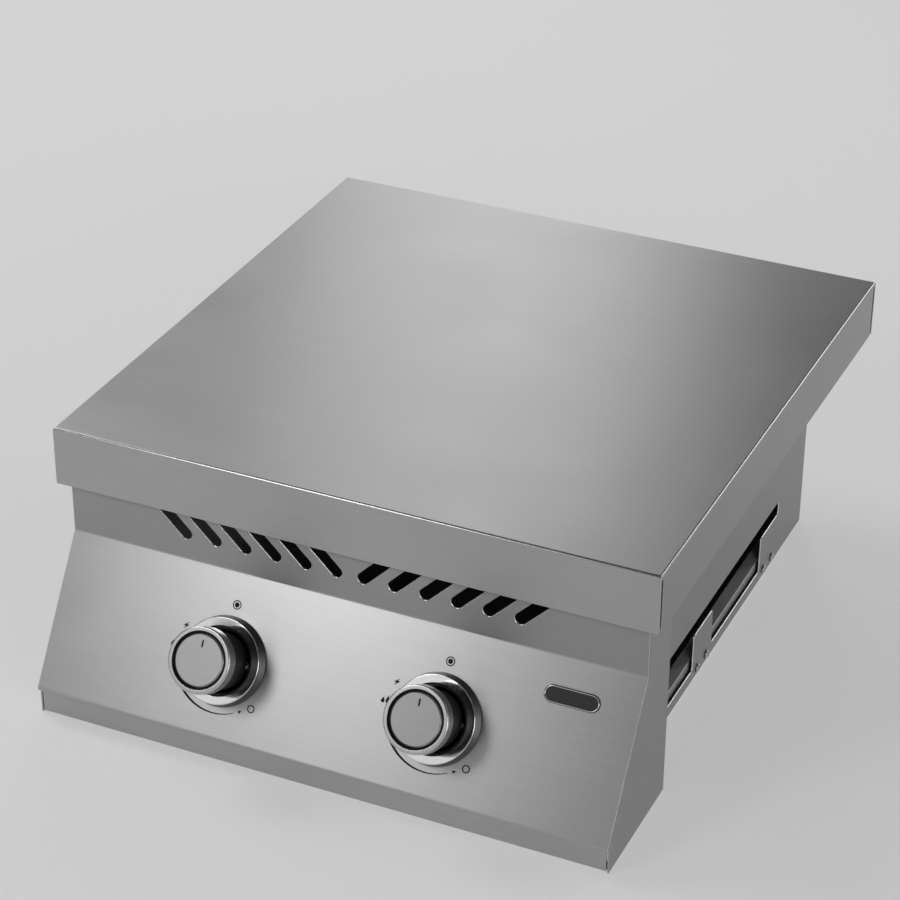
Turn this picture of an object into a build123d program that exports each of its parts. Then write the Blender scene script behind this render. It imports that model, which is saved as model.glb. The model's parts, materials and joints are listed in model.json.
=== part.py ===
from build123d import *
import os
from math import cos, pi, radians, sin, sqrt, tan

# A built-in outdoor power burner: a steel box that hangs in a counter cut-out,
# with a leaning control panel, two burner rings under a grate, and a lift-off cover.
# Millimetres. X is right, Y is back, Z is up, and the base stands at zero.

# Sheet metal and fits
sheet = 1.2                # thickness of every folded panel
bend_radius = 2.4          # outside radius of the front panel's folds
run_gap = 0.8              # side room of a sliding piece
touch_gap = 0.3            # room round a pipe or a piece that moves past another
shaft_gap = 0.05           # radial room of a shaft in its bore
screw_radius = 2.0
screw_head_radius = 3.6
screw_head_height = 2.2
hex_sides = 6

# Box, deck and control housing
housing_width = 457.0      # across the front panel, 18 inches
housing_depth = 44.2       # vent strip back to the rear of the end caps
box_height = 162.0         # base to the underside of the counter flange
deck_rise = 47.8           # deck top above the counter
deck_depth = 469.4         # vent strip back to the rear of the deck
side_ledge = 28.5          # counter flange beside the box
rear_ledge = 30.0          # counter flange behind the box
wall_lap = 13.0            # box walls above the counter, behind the well walls
well_depth = 43.0          # deck top down to the grate ledge
ledge_width = 12.0
lip_height = 12.0          # deck lip behind the vent strip
strip_lap = 8.0            # vent strip over that lip
bulkhead_foot = 26.0       # underside of the front bulkhead, over the drip tray

# Cover
cover_side_gap = 8.5       # cover outside the deck, left and right
cover_end_gap = 6.8        # cover outside the deck, front and rear
cover_height = 47.0
cover_round = 2.0
corner_seam = 3.2          # slit where two cover skirts meet
bumper_height = 3.0
bumper_radius = 6.0
bumper_inset = 40.0

# Front panel
strip_drop = 36.6          # counter plane down to the fold above the leaning panel
panel_foot = 20.3
panel_lean = 32.7          # degrees from upright
foot_return = 14.0
toe_inset = 5.5            # tray front behind the panel's foot
slot_count = 6
slot_pitch = 24.4
slot_first = 10.7          # first vent slot from the middle
slot_width = 9.0
slot_run = 46.0            # between the slot's end centres
slot_lean = 45.0
slot_rise = 17.0           # fold up to the slots' lower ends
badge_length = 42.0
badge_width = 13.0
badge_thick = 1.0
badge_inset = 49.7         # badge centre in from the panel's right edge
badge_down = 27.0          # badge centre down from the fold

# Side wall windows
window_start = 24.0        # from the bulkhead's face back to the first pocket
pocket_length = 112.0
tab_length = 42.0
window_foot = 10.0
tab_top = 41.0
window_top = 53.0
window_round = 3.0

# Knobs and bezels, heights measured out from the panel
knob_spacing = 170.6
knob_share = 0.475602      # knob's place on the leaning panel, up from its foot
knob_height = 43.0
knob_radius = 24.5
knob_lift = 1.0            # room under the knob when it is pushed in
knob_waist = 21.0
ring_depth = 10.5
ring_wall = 3.3
ring_round = 1.2
groove_depth = 2.0
disc_radius = 18.3
disc_thick = 1.6
hub_radius = 9.0
skirt_wall = 2.5
cavity_depth = 20.0
push_travel = 3.0
bezel_radius = 33.5
bezel_rim_radius = 32.0
bezel_mouth = 23.5
bezel_height = 9.5
bezel_base = 2.0
bezel_dish = 2.5           # drop from the bezel's rim to its mouth
bezel_lip = 3.0            # width of the bezel's flat rim
bezel_screw_place = 13.5

# Gas valves, depths measured in from the panel
stem_radius = 4.0
stem_flat = 2.9
stem_spare = 1.2           # room under the stem when it is pushed in
stem_grip = 28.0           # stem inside the knob hub
stem_hole = 7.0
flange_radius = 17.0
flange_thick = 3.0
bonnet_radius = 11.0
bonnet_foot = 22.0
bonnet_bore = 6.5
valve_half = 14.0
valve_foot = 52.0
valve_centre = 38.0
plug_radius = 6.0
plug_top = 24.0
plug_floor = 1.8
collar_radius = 6.2
collar_thick = 2.0
spring_radius = 5.3
spring_wire = 1.0
spring_turns = 6
coil_points = 24           # measured on each turn
outlet_radius = 6.0
outlet_length = 20.0
neck_radius = 7.0

# Gas line
manifold_rise = 23.0       # valve centre up to the manifold, along the panel
pipe_radius = 8.0
pipe_wall = 1.5
pipe_end = 3.0             # closed end of the manifold
manifold_left = 115.0
pipe_inset = 23.8          # supply pipe in from the side wall
elbow_half = 12.0
elbow_round = 3.0
clamp_place = 40.0
clamp_width = 14.0
clamp_wall = 3.0
clamp_foot = 12.0
inlet_radius = 7.9
inlet_length = 14.0
inlet_bore = 5.0
inlet_body = 9.0
inlet_flange = 14.0
inlet_flange_thick = 2.5
inlet_hex = 13.0
inlet_hex_length = 7.0
inlet_flare = 2.0

# Mixing tubes
tube_radius = 12.5
tube_wall = 1.5
tube_end = 2.0
tube_bend = 30.0
tube_straight = 60.0       # bulkhead back to the tube's first bend
spud_hex = 7.0
spud_hex_length = 5.5
nozzle_radius = 4.0
nozzle_length = 6.0
nozzle_lead = 1.0          # nozzle in front of the tube's end wall
jet_radius = 0.8
air_hole = 5.0
air_place = 8.0
shutter_wall = 1.4
shutter_length = 14.0
shutter_lug = 4.0
lug_angle = 45.0

# Burner rings
bracket_drop = 31.8        # grate ledge down to the bracket
bracket_thick = 3.0
bracket_width = 40.0
bracket_flange = 20.0
bracket_screw_span = 20.0
outer_ring_radius = 95.0
inner_ring_radius = 40.0
ring_half = 13.0
channel_wall = 3.0
channel_height = 21.0
cap_thick = 5.0
cap_chamfer = 1.5
port_radius = 1.5
outer_ports = 60
inner_ports = 26
outer_riser_angle = 40.0
inner_riser_angle = 60.0

# Igniters
piezo_width = 14.0
piezo_half = 9.0
piezo_top = 26.0
piezo_foot = 50.0
outer_electrode_angle = 240.0
inner_electrode_angle = 250.0
electrode_radius = 3.5
electrode_drop = 10.0      # ceramic below the burner rings
electrode_rise = 24.0
pin_radius = 1.2
pin_over = 9.0
electrode_offset = 10.0    # outer electrode beyond its ring
plate_half = 6.0
plate_thick = 1.5
plate_lap = 8.0

# Drip tray and runners
runner_height = 17.2
runner_width = 11.2
runner_screw_span = 20.0
runner_screw_drop = 4.0    # window's lower edge down to the runner screws
tray_headroom = 1.0        # runner lip over the tray's rim
tray_short = 20.0          # room behind the tray
fascia_foot = 1.5
fascia_gap = 0.7
fascia_hem = 10.0

# Grate
grate_gap = 2.0
grate_bar = 14.0
grate_frame_height = 22.0
grate_round = 8.0
finger_rise = 14.0
finger_height = 22.0
finger_width = 10.0
finger_angles = [0, 45, 90, 135]
grate_ring = 70.0
grate_ring_hole = 58.0

# Heights
counter_z = box_height
lap_top = counter_z + wall_lap
deck_top = counter_z + deck_rise
ledge_z = deck_top - well_depth
cover_under = deck_top + bumper_height
cover_top = cover_under + sheet
cover_foot = cover_top - cover_height
strip_top = deck_top - lip_height + strip_lap
panel_top = counter_z - strip_drop
bracket_z = ledge_z - bracket_drop
ring_z = bracket_z + bracket_thick
channel_top = ring_z + channel_height
tray_z = 2 * sheet + touch_gap
runner_top = sheet + runner_height
tray_rim = runner_top - sheet - tray_headroom
runner_screw_z = window_foot - runner_screw_drop

# Places from front to back, with the whole burner centred on zero
lean = radians(panel_lean)
panel_reach = (panel_top - panel_foot) * tan(lean)
panel_length = (panel_top - panel_foot) / cos(lean)
knob_down = panel_length * (1 - knob_share)
knob_across = knob_down + knob_radius - ring_round
knob_foot = bezel_base + push_travel + knob_lift
knob_reach = knob_across * sin(lean) + (knob_height - ring_round) * cos(lean) + ring_round
front_reach = max(panel_reach, knob_reach)
strip_y = (front_reach - deck_depth - cover_end_gap) / 2
foot_y = strip_y - panel_reach
fascia_y = foot_y + toe_inset
box_front = strip_y + housing_depth
deck_rear = strip_y + deck_depth
box_rear = deck_rear - rear_ledge
bulkhead_back = box_front + sheet
rear_wall_front = box_rear - sheet
well_front = bulkhead_back + sheet
well_rear = rear_wall_front - sheet
burner_y = (well_front + well_rear) / 2
cover_front = strip_y - cover_end_gap
cover_rear = deck_rear + cover_end_gap
tray_rear = rear_wall_front - tray_short

# Half widths
deck_half = housing_width / 2
cap_in = deck_half - sheet
box_half = deck_half - side_ledge
wall_in = box_half - sheet
well_half = wall_in - sheet
web_in = wall_in - sheet
cover_half = deck_half + cover_side_gap
tray_half = web_in - run_gap
fascia_half = cap_in - run_gap
knob_x = knob_spacing / 2

# Planes of the leaning panel
normal = Vector(0, -cos(lean), sin(lean))
upslope = Vector(0, sin(lean), cos(lean))
across = Vector(1, 0, 0)
panel_face = Plane(origin=(0, strip_y, panel_top), x_dir=across, z_dir=normal)
strip_face = Plane(origin=(0, strip_y, 0), x_dir=across, z_dir=(0, -1, 0))

# The valves' gas line, behind the panel
valve_axis = panel_face.from_local_coords((0, -knob_down, -valve_centre))
valve_y = valve_axis.Y
tube_z = valve_axis.Z
manifold_axis = valve_axis + upslope * manifold_rise
manifold_y = manifold_axis.Y
manifold_z = manifold_axis.Z
elbow_x = wall_in - pipe_inset
manifold_right = elbow_x - elbow_half
spud_y = valve_y + outlet_length
nozzle_y = spud_y + spud_hex_length
tube_front = nozzle_y + nozzle_lead
air_y = tube_front + air_place
inlet_y = rear_wall_front - inlet_flange_thick

sides = [("left", -1), ("right", 1)]
pockets = [window_start, window_start + pocket_length + tab_length]
window_end = pockets[-1] + pocket_length + tab_length
tab_middles = [box_front + start + pocket_length + tab_length / 2 for start in pockets]
runner_screw_places = [
    (middle + step * runner_screw_span / 2, runner_screw_z)
    for middle in tab_middles
    for step in (-1, 1)
]
bracket_screw_places = [
    (burner_y + step * bracket_screw_span / 2, bracket_z - bracket_flange / 2)
    for step in (-1, 1)
]


def patch(x_one, x_two, y_one, y_two, mode=Mode.ADD):
    """A rectangle between two corners of the sketch."""
    with Locations(((x_one + x_two) / 2, (y_one + y_two) / 2)):
        Rectangle(abs(x_two - x_one), abs(y_two - y_one), mode=mode)


def cross_plane(y):
    """An upright plane facing forward; its sketch runs in X and Z."""
    return Plane(origin=(0, y, 0), x_dir=across, z_dir=(0, -1, 0))


def knob_face(sign):
    """The plane of the panel at a knob's centre."""
    centre = panel_face.from_local_coords((sign * knob_x, -knob_down, 0))
    return Plane(origin=centre, x_dir=across, z_dir=normal)


def knob_section(sign):
    """A plane through a knob's axis; its sketch runs in radius and height off the panel."""
    return Plane(origin=knob_face(sign).origin, x_dir=across, z_dir=-upslope)


def turn(section, points, mode=Mode.ADD):
    """A solid turned about the section's upright axis."""
    with BuildSketch(section) as profile:
        with BuildLine():
            Polyline(*points, close=True)
        make_face()
    revolve(profile.sketch, axis=Axis(section.origin, section.y_dir), mode=mode)


def d_shape(radius, flat, mode=Mode.ADD):
    """A round shaft's section with one flat on its right."""
    with BuildSketch(mode=Mode.PRIVATE) as section:
        Circle(radius)
        patch(flat, 2 * radius, -radius, radius, Mode.SUBTRACT)
    add(section.sketch, mode=mode)


def coil(centre, axis, start_way, radius, pitch, turns):
    """A coil line made of two tangent arcs for each quarter turn."""
    side_way = axis.cross(start_way)

    def place(step):
        angle = step * pi / 2
        round_way = start_way * cos(angle) + side_way * sin(angle)
        return centre + round_way * radius + axis * (pitch * step / 4)

    def heading(step):
        angle = step * pi / 2
        round_way = side_way * cos(angle) - start_way * sin(angle)
        return (round_way * radius + axis * (pitch / (2 * pi))).normalized()

    for step in range(4 * turns):
        start, end = place(step), place(step + 1)
        go, come = heading(step), heading(step + 1)
        span = end - start
        along = span.dot(go + come)
        swing = 1 - go.dot(come)
        reach = (sqrt(along**2 + 2 * swing * span.dot(span)) - along) / (2 * swing)
        middle = (start + end + (go - come) * reach) * 0.5
        TangentArc(start, middle, tangent=go)
        TangentArc(middle, end, tangent=(span - (go + come) * reach).normalized())


def coil_room(line, turns, wire):
    """The least room between a coil's turns, measured on points of its line."""
    last = turns * coil_points
    points = [line @ (step / last) for step in range(last + 1)]
    return min(
        (points[late] - points[early]).length - wire
        for early in range(last)
        for late in range(early + coil_points // 2, last + 1)
    )


def air_holes(sign, reach):
    """Two crossed holes through a mixing tube's front end."""
    with BuildSketch(Plane.YZ.offset(sign * knob_x)) as level_hole:
        with Locations((air_y, tube_z)):
            Circle(air_hole)
    extrude(level_hole.sketch, amount=reach, both=True, mode=Mode.SUBTRACT)
    with BuildSketch(Plane.XY.offset(tube_z)) as upright_hole:
        with Locations((sign * knob_x, air_y)):
            Circle(air_hole)
    extrude(upright_hole.sketch, amount=reach, both=True, mode=Mode.SUBTRACT)


def ring_place(radius, angle):
    """A point in plan at an angle round the burner's centre."""
    return radius * cos(radians(angle)), burner_y + radius * sin(radians(angle))


def save(piece, name):
    """Label a finished piece and write it out."""
    piece.part.label = name
    export_step(piece.part, f"parts/{name}.step")


os.makedirs("parts", exist_ok=True)

# Cover: a shallow folded lid with open corner seams
with BuildPart() as cover:
    with BuildSketch(Plane.XY.offset(cover_foot)):
        patch(-cover_half, cover_half, cover_front, cover_rear)
    extrude(amount=cover_height)
    fillet(cover.edges().group_by(Axis.Z)[-1], cover_round)
    with BuildSketch(Plane.XY.offset(cover_foot)):
        patch(-cover_half + sheet, cover_half - sheet, cover_front + sheet, cover_rear - sheet)
    extrude(amount=cover_height - sheet, mode=Mode.SUBTRACT)
    with BuildSketch(Plane.XY.offset(cover_foot)):
        with Locations((0, (cover_front + cover_rear) / 2)):
            seam_span = cover_rear - cover_front - 2 * sheet - corner_seam
            with GridLocations(2 * cover_half - sheet, seam_span, 2, 2):
                Rectangle(sheet, corner_seam)
    extrude(amount=cover_height - 2 * cover_round, mode=Mode.SUBTRACT)
save(cover, "cover")

# Four rubber bumpers hold the cover off the deck
bumper_x = (deck_half + wall_in) / 2
with BuildPart() as cover_bumpers:
    with BuildSketch(Plane.XY.offset(deck_top)):
        with Locations((0, (strip_y + deck_rear) / 2)):
            with GridLocations(2 * bumper_x, deck_depth - 2 * bumper_inset, 2, 2):
                Circle(bumper_radius)
    extrude(amount=bumper_height)
save(cover_bumpers, "cover_bumpers")

# Top deck: a raised rim with a well for the grate and a flange that hangs on the counter
with BuildPart() as top_deck:
    with BuildSketch(Plane.XY.offset(deck_top - sheet)):
        patch(-deck_half, deck_half, strip_y + sheet, deck_rear)
        patch(-well_half, well_half, well_front, well_rear, Mode.SUBTRACT)
    extrude(amount=sheet)
    with BuildSketch(Plane.XY.offset(counter_z)):
        patch(-deck_half, deck_half, box_front, deck_rear)
        patch(-cap_in, cap_in, box_front, deck_rear - sheet, Mode.SUBTRACT)
    extrude(amount=deck_rise)
    with BuildSketch(Plane.XY.offset(counter_z)):
        patch(-deck_half, deck_half, box_front, deck_rear)
        patch(-box_half, box_half, box_front, box_rear, Mode.SUBTRACT)
    extrude(amount=sheet)
    with BuildSketch(Plane.XY.offset(ledge_z)):
        patch(-wall_in, wall_in, bulkhead_back, rear_wall_front)
        patch(-well_half, well_half, well_front, well_rear, Mode.SUBTRACT)
    extrude(amount=well_depth)
    with BuildSketch(Plane.XY.offset(ledge_z)):
        patch(-wall_in, wall_in, bulkhead_back, rear_wall_front)
        ledge_half = well_half - ledge_width
        patch(-ledge_half, ledge_half, well_front + ledge_width, well_rear - ledge_width, Mode.SUBTRACT)
    extrude(amount=sheet)
    with BuildSketch(Plane.XY.offset(deck_top - lip_height)):
        patch(-cap_in, cap_in, strip_y + sheet, strip_y + 2 * sheet)
    extrude(amount=lip_height)
save(top_deck, "top_deck")

# Front panel: vent strip, leaning control panel and foot return, folded from one sheet
panel_corners = [(strip_y, panel_top), (foot_y, panel_foot), (foot_y + foot_return, panel_foot)]
slot_middle = slot_run / 2
slot_x = slot_first + slot_middle * sin(radians(slot_lean))
slot_z = panel_top + slot_rise + slot_width / 2 + slot_middle * cos(radians(slot_lean))
with BuildPart() as front_panel:
    with BuildSketch(Plane.YZ.offset(-deck_half)):
        with BuildLine():
            FilletPolyline((strip_y, strip_top), *panel_corners, radius=bend_radius)
            offset(amount=sheet, side=Side.LEFT)
        make_face()
    extrude(amount=housing_width)
    with BuildSketch(strip_face):
        for step in range(slot_count):
            for sign in (-1, 1):
                with Locations((sign * (slot_x + step * slot_pitch), slot_z)):
                    SlotCenterToCenter(slot_run, slot_width, rotation=90 - sign * slot_lean)
    extrude(amount=-2 * sheet, mode=Mode.SUBTRACT)
    with BuildSketch(panel_face):
        for sign in (-1, 1):
            with Locations((sign * knob_x, -knob_down)):
                Circle(stem_hole)
                with GridLocations(2 * bezel_screw_place, 0, 2, 1):
                    Circle(screw_radius + shaft_gap)
    extrude(amount=-2 * sheet, mode=Mode.SUBTRACT)
save(front_panel, "front_panel")

# Badge place: a plain plate with no lettering
with BuildPart() as badge_plate:
    with BuildSketch(panel_face):
        with Locations((deck_half - badge_inset, -badge_down)):
            SlotOverall(badge_length, badge_width)
    extrude(amount=badge_thick)
save(badge_plate, "badge_plate")

# End caps close the control housing and turn in behind the counter's front edge
cap_top = deck_top - sheet
for side, sign in sides:
    with BuildPart() as end_cap:
        with BuildSketch(Plane.YZ.offset(sign * deck_half)):
            with BuildLine():
                front_edge = FilletPolyline((strip_y, cap_top), *panel_corners, radius=bend_radius)
                Polyline(front_edge @ 1, (box_front, panel_foot), (box_front, cap_top), front_edge @ 0)
            make_face()
            patch(fascia_y, box_front, 0, panel_foot)
        extrude(amount=-sign * sheet)
        with BuildSketch(Plane.XY):
            patch(sign * wall_in, sign * deck_half, box_front - sheet, box_front)
        extrude(amount=cap_top)
        add(front_panel.part, mode=Mode.SUBTRACT)
    save(end_cap, f"{side}_end_cap")

# Side walls of the box, each with a castellated window over the tray runner
for side, sign in sides:
    with BuildPart() as side_wall:
        with BuildSketch(Plane.YZ.offset(sign * wall_in)):
            patch(box_front, box_rear, 0, lap_top)
            with Locations(*runner_screw_places, *bracket_screw_places):
                Circle(screw_radius + shaft_gap, mode=Mode.SUBTRACT)
        extrude(amount=sign * sheet)
        with BuildSketch(Plane.YZ.offset(sign * wall_in)) as window:
            patch(box_front + window_start, box_front + window_end, tab_top, window_top)
            for start in pockets:
                patch(box_front + start, box_front + start + pocket_length, window_foot, window_top)
            fillet(window.vertices(), window_round)
        extrude(amount=sign * sheet, mode=Mode.SUBTRACT)
    save(side_wall, f"{side}_side_wall")

# Rear wall, with the hole of the gas inlet
with BuildPart() as rear_wall:
    with BuildSketch(cross_plane(rear_wall_front)):
        patch(-wall_in, wall_in, 0, lap_top)
        with Locations((elbow_x, manifold_z)):
            Circle(inlet_body + shaft_gap, mode=Mode.SUBTRACT)
    extrude(amount=-sheet)
save(rear_wall, "rear_wall")

# Front bulkhead between the housing and the box
with BuildPart() as front_bulkhead:
    with BuildSketch(cross_plane(box_front)):
        patch(-wall_in, wall_in, bulkhead_foot, lap_top)
        with Locations((-knob_x, tube_z), (knob_x, tube_z)):
            Circle(tube_radius + touch_gap, mode=Mode.SUBTRACT)
        with Locations((elbow_x, manifold_z)):
            Circle(pipe_radius + touch_gap, mode=Mode.SUBTRACT)
    extrude(amount=-sheet)
save(front_bulkhead, "front_bulkhead")

# Floor pan
with BuildPart() as floor_pan:
    with BuildSketch(Plane.XY):
        patch(-wall_in, wall_in, box_front, rear_wall_front)
    extrude(amount=sheet)
save(floor_pan, "floor_pan")

# Tray runners: channels screwed to the side walls
for side, sign in sides:
    with BuildPart() as tray_runner:
        with BuildSketch(cross_plane(box_front)):
            runner_in = sign * (wall_in - runner_width)
            patch(runner_in, sign * wall_in, sheet, runner_top)
            patch(runner_in, sign * web_in, 2 * sheet, runner_top - sheet, Mode.SUBTRACT)
        extrude(amount=box_front - rear_wall_front)
        with BuildSketch(Plane.YZ.offset(sign * web_in)):
            with Locations(*runner_screw_places):
                Circle(screw_radius + shaft_gap)
        extrude(amount=sign * sheet, mode=Mode.SUBTRACT)
    save(tray_runner, f"{side}_tray_runner")


def side_screws(places, inner):
    """Screws through both side walls, with their heads outside."""
    for sign in (-1, 1):
        with BuildSketch(Plane.YZ.offset(sign * box_half)) as heads:
            with Locations(*places):
                Circle(screw_head_radius)
        extrude(heads.sketch, amount=sign * screw_head_height)
        with BuildSketch(Plane.YZ.offset(sign * inner)) as shanks:
            with Locations(*places):
                Circle(screw_radius)
        extrude(shanks.sketch, amount=sign * (box_half - inner))


with BuildPart() as runner_screws:
    side_screws(runner_screw_places, web_in)
save(runner_screws, "runner_screws")

# Drip tray: a shallow pan with a front fascia, hemmed underneath for the fingers
with BuildPart() as drip_tray:
    with BuildSketch(Plane.XY.offset(tray_z)):
        patch(-tray_half, tray_half, fascia_y, tray_rear)
    extrude(amount=tray_rim - tray_z)
    with BuildSketch(Plane.XY.offset(tray_z + sheet)):
        patch(-tray_half + sheet, tray_half - sheet, fascia_y + sheet, tray_rear - sheet)
    extrude(amount=tray_rim - tray_z, mode=Mode.SUBTRACT)
    with BuildSketch(Plane.XY.offset(fascia_foot)):
        patch(-fascia_half, fascia_half, fascia_y, fascia_y + sheet)
    extrude(amount=panel_foot - fascia_gap - fascia_foot)
    with BuildSketch(Plane.XY.offset(fascia_foot)):
        patch(-fascia_half, fascia_half, fascia_y, fascia_y + fascia_hem)
    extrude(amount=sheet)
save(drip_tray, "drip_tray")

# Grate: a cast frame on the well's ledge, with fingers and a pan ring over the burner
grate_z = ledge_z + sheet
grate_half = well_half - grate_gap
grate_front = well_front + grate_gap
grate_rear = well_rear - grate_gap
with BuildPart() as grate:
    with BuildSketch(Plane.XY.offset(grate_z)) as frame:
        patch(-grate_half, grate_half, grate_front, grate_rear)
        fillet(frame.vertices(), grate_round)
        frame_in = grate_half - grate_bar
        patch(-frame_in, frame_in, grate_front + grate_bar, grate_rear - grate_bar, Mode.SUBTRACT)
    extrude(amount=grate_frame_height)
    with BuildSketch(Plane.XY.offset(grate_z + finger_rise)):
        finger_span = 2 * (grate_rear - grate_front)
        with Locations((0, burner_y)):
            for angle in finger_angles:
                Rectangle(finger_span, finger_width, rotation=angle)
            Circle(grate_ring)
            Circle(grate_ring_hole, mode=Mode.SUBTRACT)
        inset = grate_bar / 2
        finger_end = grate_half - inset
        patch(-finger_end, finger_end, grate_front + inset, grate_rear - inset, Mode.INTERSECT)
    extrude(amount=finger_height)
save(grate, "grate")

# Burner bracket: a bar across the box that carries both rings
with BuildPart() as burner_bracket:
    with BuildSketch(Plane.XY.offset(bracket_z)):
        patch(-wall_in, wall_in, burner_y - bracket_width / 2, burner_y + bracket_width / 2)
    extrude(amount=bracket_thick)
    with BuildSketch(Plane.XY.offset(bracket_z - bracket_flange)):
        for sign in (-1, 1):
            flange_in = sign * (wall_in - bracket_thick)
            patch(flange_in, sign * wall_in, burner_y - bracket_width / 2, burner_y + bracket_width / 2)
    extrude(amount=bracket_flange)
    with BuildSketch(Plane.YZ):
        with Locations(*bracket_screw_places):
            Circle(screw_radius + shaft_gap)
    extrude(amount=wall_in, both=True, mode=Mode.SUBTRACT)
save(burner_bracket, "burner_bracket")

with BuildPart() as bracket_screws:
    side_screws(bracket_screw_places, wall_in - bracket_thick)
save(bracket_screws, "bracket_screws")

# Burner rings: cast channels, each with a ported cap and a hole over its riser
rings = [
    ("outer", -1, outer_ring_radius, outer_riser_angle, outer_ports),
    ("inner", 1, inner_ring_radius, inner_riser_angle, inner_ports),
]
channel_half = ring_half - channel_wall
tube_bore = tube_radius - tube_wall
for ring, sign, radius, riser_angle, ports in rings:
    riser_x = sign * radius * cos(radians(riser_angle))
    riser_y = burner_y - radius * sin(radians(riser_angle))

    with BuildPart() as burner_ring:
        with BuildSketch(Plane.XY.offset(ring_z)):
            with Locations((0, burner_y)):
                Circle(radius + ring_half)
                Circle(radius - ring_half, mode=Mode.SUBTRACT)
        extrude(amount=channel_height)
        with BuildSketch(Plane.XY.offset(ring_z + channel_wall)):
            with Locations((0, burner_y)):
                Circle(radius + channel_half)
                Circle(radius - channel_half, mode=Mode.SUBTRACT)
        extrude(amount=channel_height, mode=Mode.SUBTRACT)
        with BuildSketch(Plane.XY.offset(ring_z)):
            with Locations((riser_x, riser_y)):
                Circle(min(tube_bore, channel_half))
        extrude(amount=channel_wall, mode=Mode.SUBTRACT)
    save(burner_ring, f"{ring}_burner_ring")

    with BuildPart() as burner_cap:
        with BuildSketch(Plane.XY.offset(channel_top)):
            with Locations((0, burner_y)):
                Circle(radius + ring_half)
                Circle(radius - ring_half, mode=Mode.SUBTRACT)
        extrude(amount=cap_thick)
        chamfer(burner_cap.edges().group_by(Axis.Z)[-1], cap_chamfer)
        with BuildSketch(Plane.XY.offset(channel_top)):
            with Locations((0, burner_y)):
                with PolarLocations(radius, ports):
                    Circle(port_radius)
        extrude(amount=cap_thick, mode=Mode.SUBTRACT)
    save(burner_cap, f"{ring}_burner_cap")

    with BuildPart() as mixing_tube:
        with BuildLine() as tube_line:
            FilletPolyline(
                (sign * knob_x, tube_front, tube_z),
                (sign * knob_x, bulkhead_back + tube_straight, tube_z),
                (riser_x, riser_y, tube_z),
                (riser_x, riser_y, ring_z),
                radius=tube_bend,
            )
        with BuildSketch(Plane(origin=tube_line.line @ 0, z_dir=tube_line.line % 0)):
            Circle(tube_radius)
            Circle(tube_bore, mode=Mode.SUBTRACT)
        sweep()
        with BuildSketch(cross_plane(tube_front)):
            with Locations((sign * knob_x, tube_z)):
                Circle(tube_radius)
                Circle(nozzle_radius + shaft_gap, mode=Mode.SUBTRACT)
        extrude(amount=-tube_end)
        air_holes(sign, tube_radius)
    save(mixing_tube, f"{ring}_mixing_tube")

# Air shutters: sleeves that turn on the tubes' front ends
shutter_radius = tube_radius + shaft_gap + shutter_wall
lug_place = shutter_radius * cos(radians(lug_angle))
for side, sign in sides:
    with BuildPart() as air_shutter:
        with BuildSketch(cross_plane(tube_front + nozzle_lead)):
            with Locations((sign * knob_x, tube_z)):
                Circle(shutter_radius)
            with Locations((sign * knob_x + lug_place, tube_z + lug_place)):
                Rectangle(2 * shutter_lug, 2 * shutter_wall, rotation=lug_angle)
            with Locations((sign * knob_x, tube_z)):
                Circle(tube_radius + shaft_gap, mode=Mode.SUBTRACT)
        extrude(amount=-shutter_length)
        air_holes(sign, shutter_radius)
    save(air_shutter, f"{side}_air_shutter")

# Gas orifices: brass spuds on the valves' outlets
for side, sign in sides:
    with BuildPart() as orifice:
        with BuildSketch(cross_plane(spud_y)):
            with Locations((sign * knob_x, tube_z)):
                RegularPolygon(spud_hex, hex_sides)
        extrude(amount=-spud_hex_length)
        with BuildSketch(cross_plane(nozzle_y)):
            with Locations((sign * knob_x, tube_z)):
                Circle(nozzle_radius)
        extrude(amount=-nozzle_length)
        with BuildSketch(cross_plane(spud_y)):
            with Locations((sign * knob_x, tube_z)):
                Circle(jet_radius)
        extrude(amount=-spud_hex_length - nozzle_length, mode=Mode.SUBTRACT)
    save(orifice, f"{side}_orifice")

# Valve bodies: flange on the panel's back, bonnet, block, gas neck and outlet
plug_bore = plug_radius + shaft_gap
stem_bore = stem_radius + shaft_gap
guide_foot = sheet + flange_thick
plug_foot = valve_foot - plug_floor
stem_foot = plug_foot - push_travel - stem_spare
for side, sign in sides:
    with BuildPart() as valve_body:
        turn(
            knob_section(sign),
            [
                (0, -sheet),
                (flange_radius, -sheet),
                (flange_radius, -guide_foot),
                (bonnet_radius, -guide_foot),
                (bonnet_radius, -bonnet_foot),
                (0, -bonnet_foot),
            ],
        )
        with BuildSketch(knob_face(sign).offset(-valve_foot)):
            Rectangle(2 * valve_half, 2 * valve_half)
        extrude(amount=valve_foot - bonnet_foot)
        with BuildSketch(cross_plane(valve_y)):
            with Locations((sign * knob_x, tube_z)):
                Circle(outlet_radius)
        extrude(amount=-outlet_length)
        neck_foot = valve_axis + across * (sign * knob_x)
        with BuildSketch(Plane(origin=neck_foot, x_dir=across, z_dir=upslope)):
            Circle(neck_radius)
        extrude(amount=manifold_rise)
        with BuildSketch(Plane.YZ.offset(sign * knob_x)):
            with Locations((manifold_y, manifold_z)):
                Circle(pipe_radius + shaft_gap)
        extrude(amount=2 * valve_half, both=True, mode=Mode.SUBTRACT)
        turn(
            knob_section(sign),
            [
                (0, -sheet),
                (stem_bore, -sheet),
                (stem_bore, -guide_foot),
                (bonnet_bore, -guide_foot),
                (bonnet_bore, -plug_top),
                (plug_bore, -plug_top),
                (plug_bore, -plug_foot),
                (0, -plug_foot),
            ],
            Mode.SUBTRACT,
        )
        with BuildSketch(knob_face(sign).offset(-sheet)):
            with GridLocations(2 * bezel_screw_place, 0, 2, 1):
                Circle(screw_radius + shaft_gap)
        extrude(amount=-flange_thick, mode=Mode.SUBTRACT)
    save(valve_body, f"{side}_valve_body")

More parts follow.
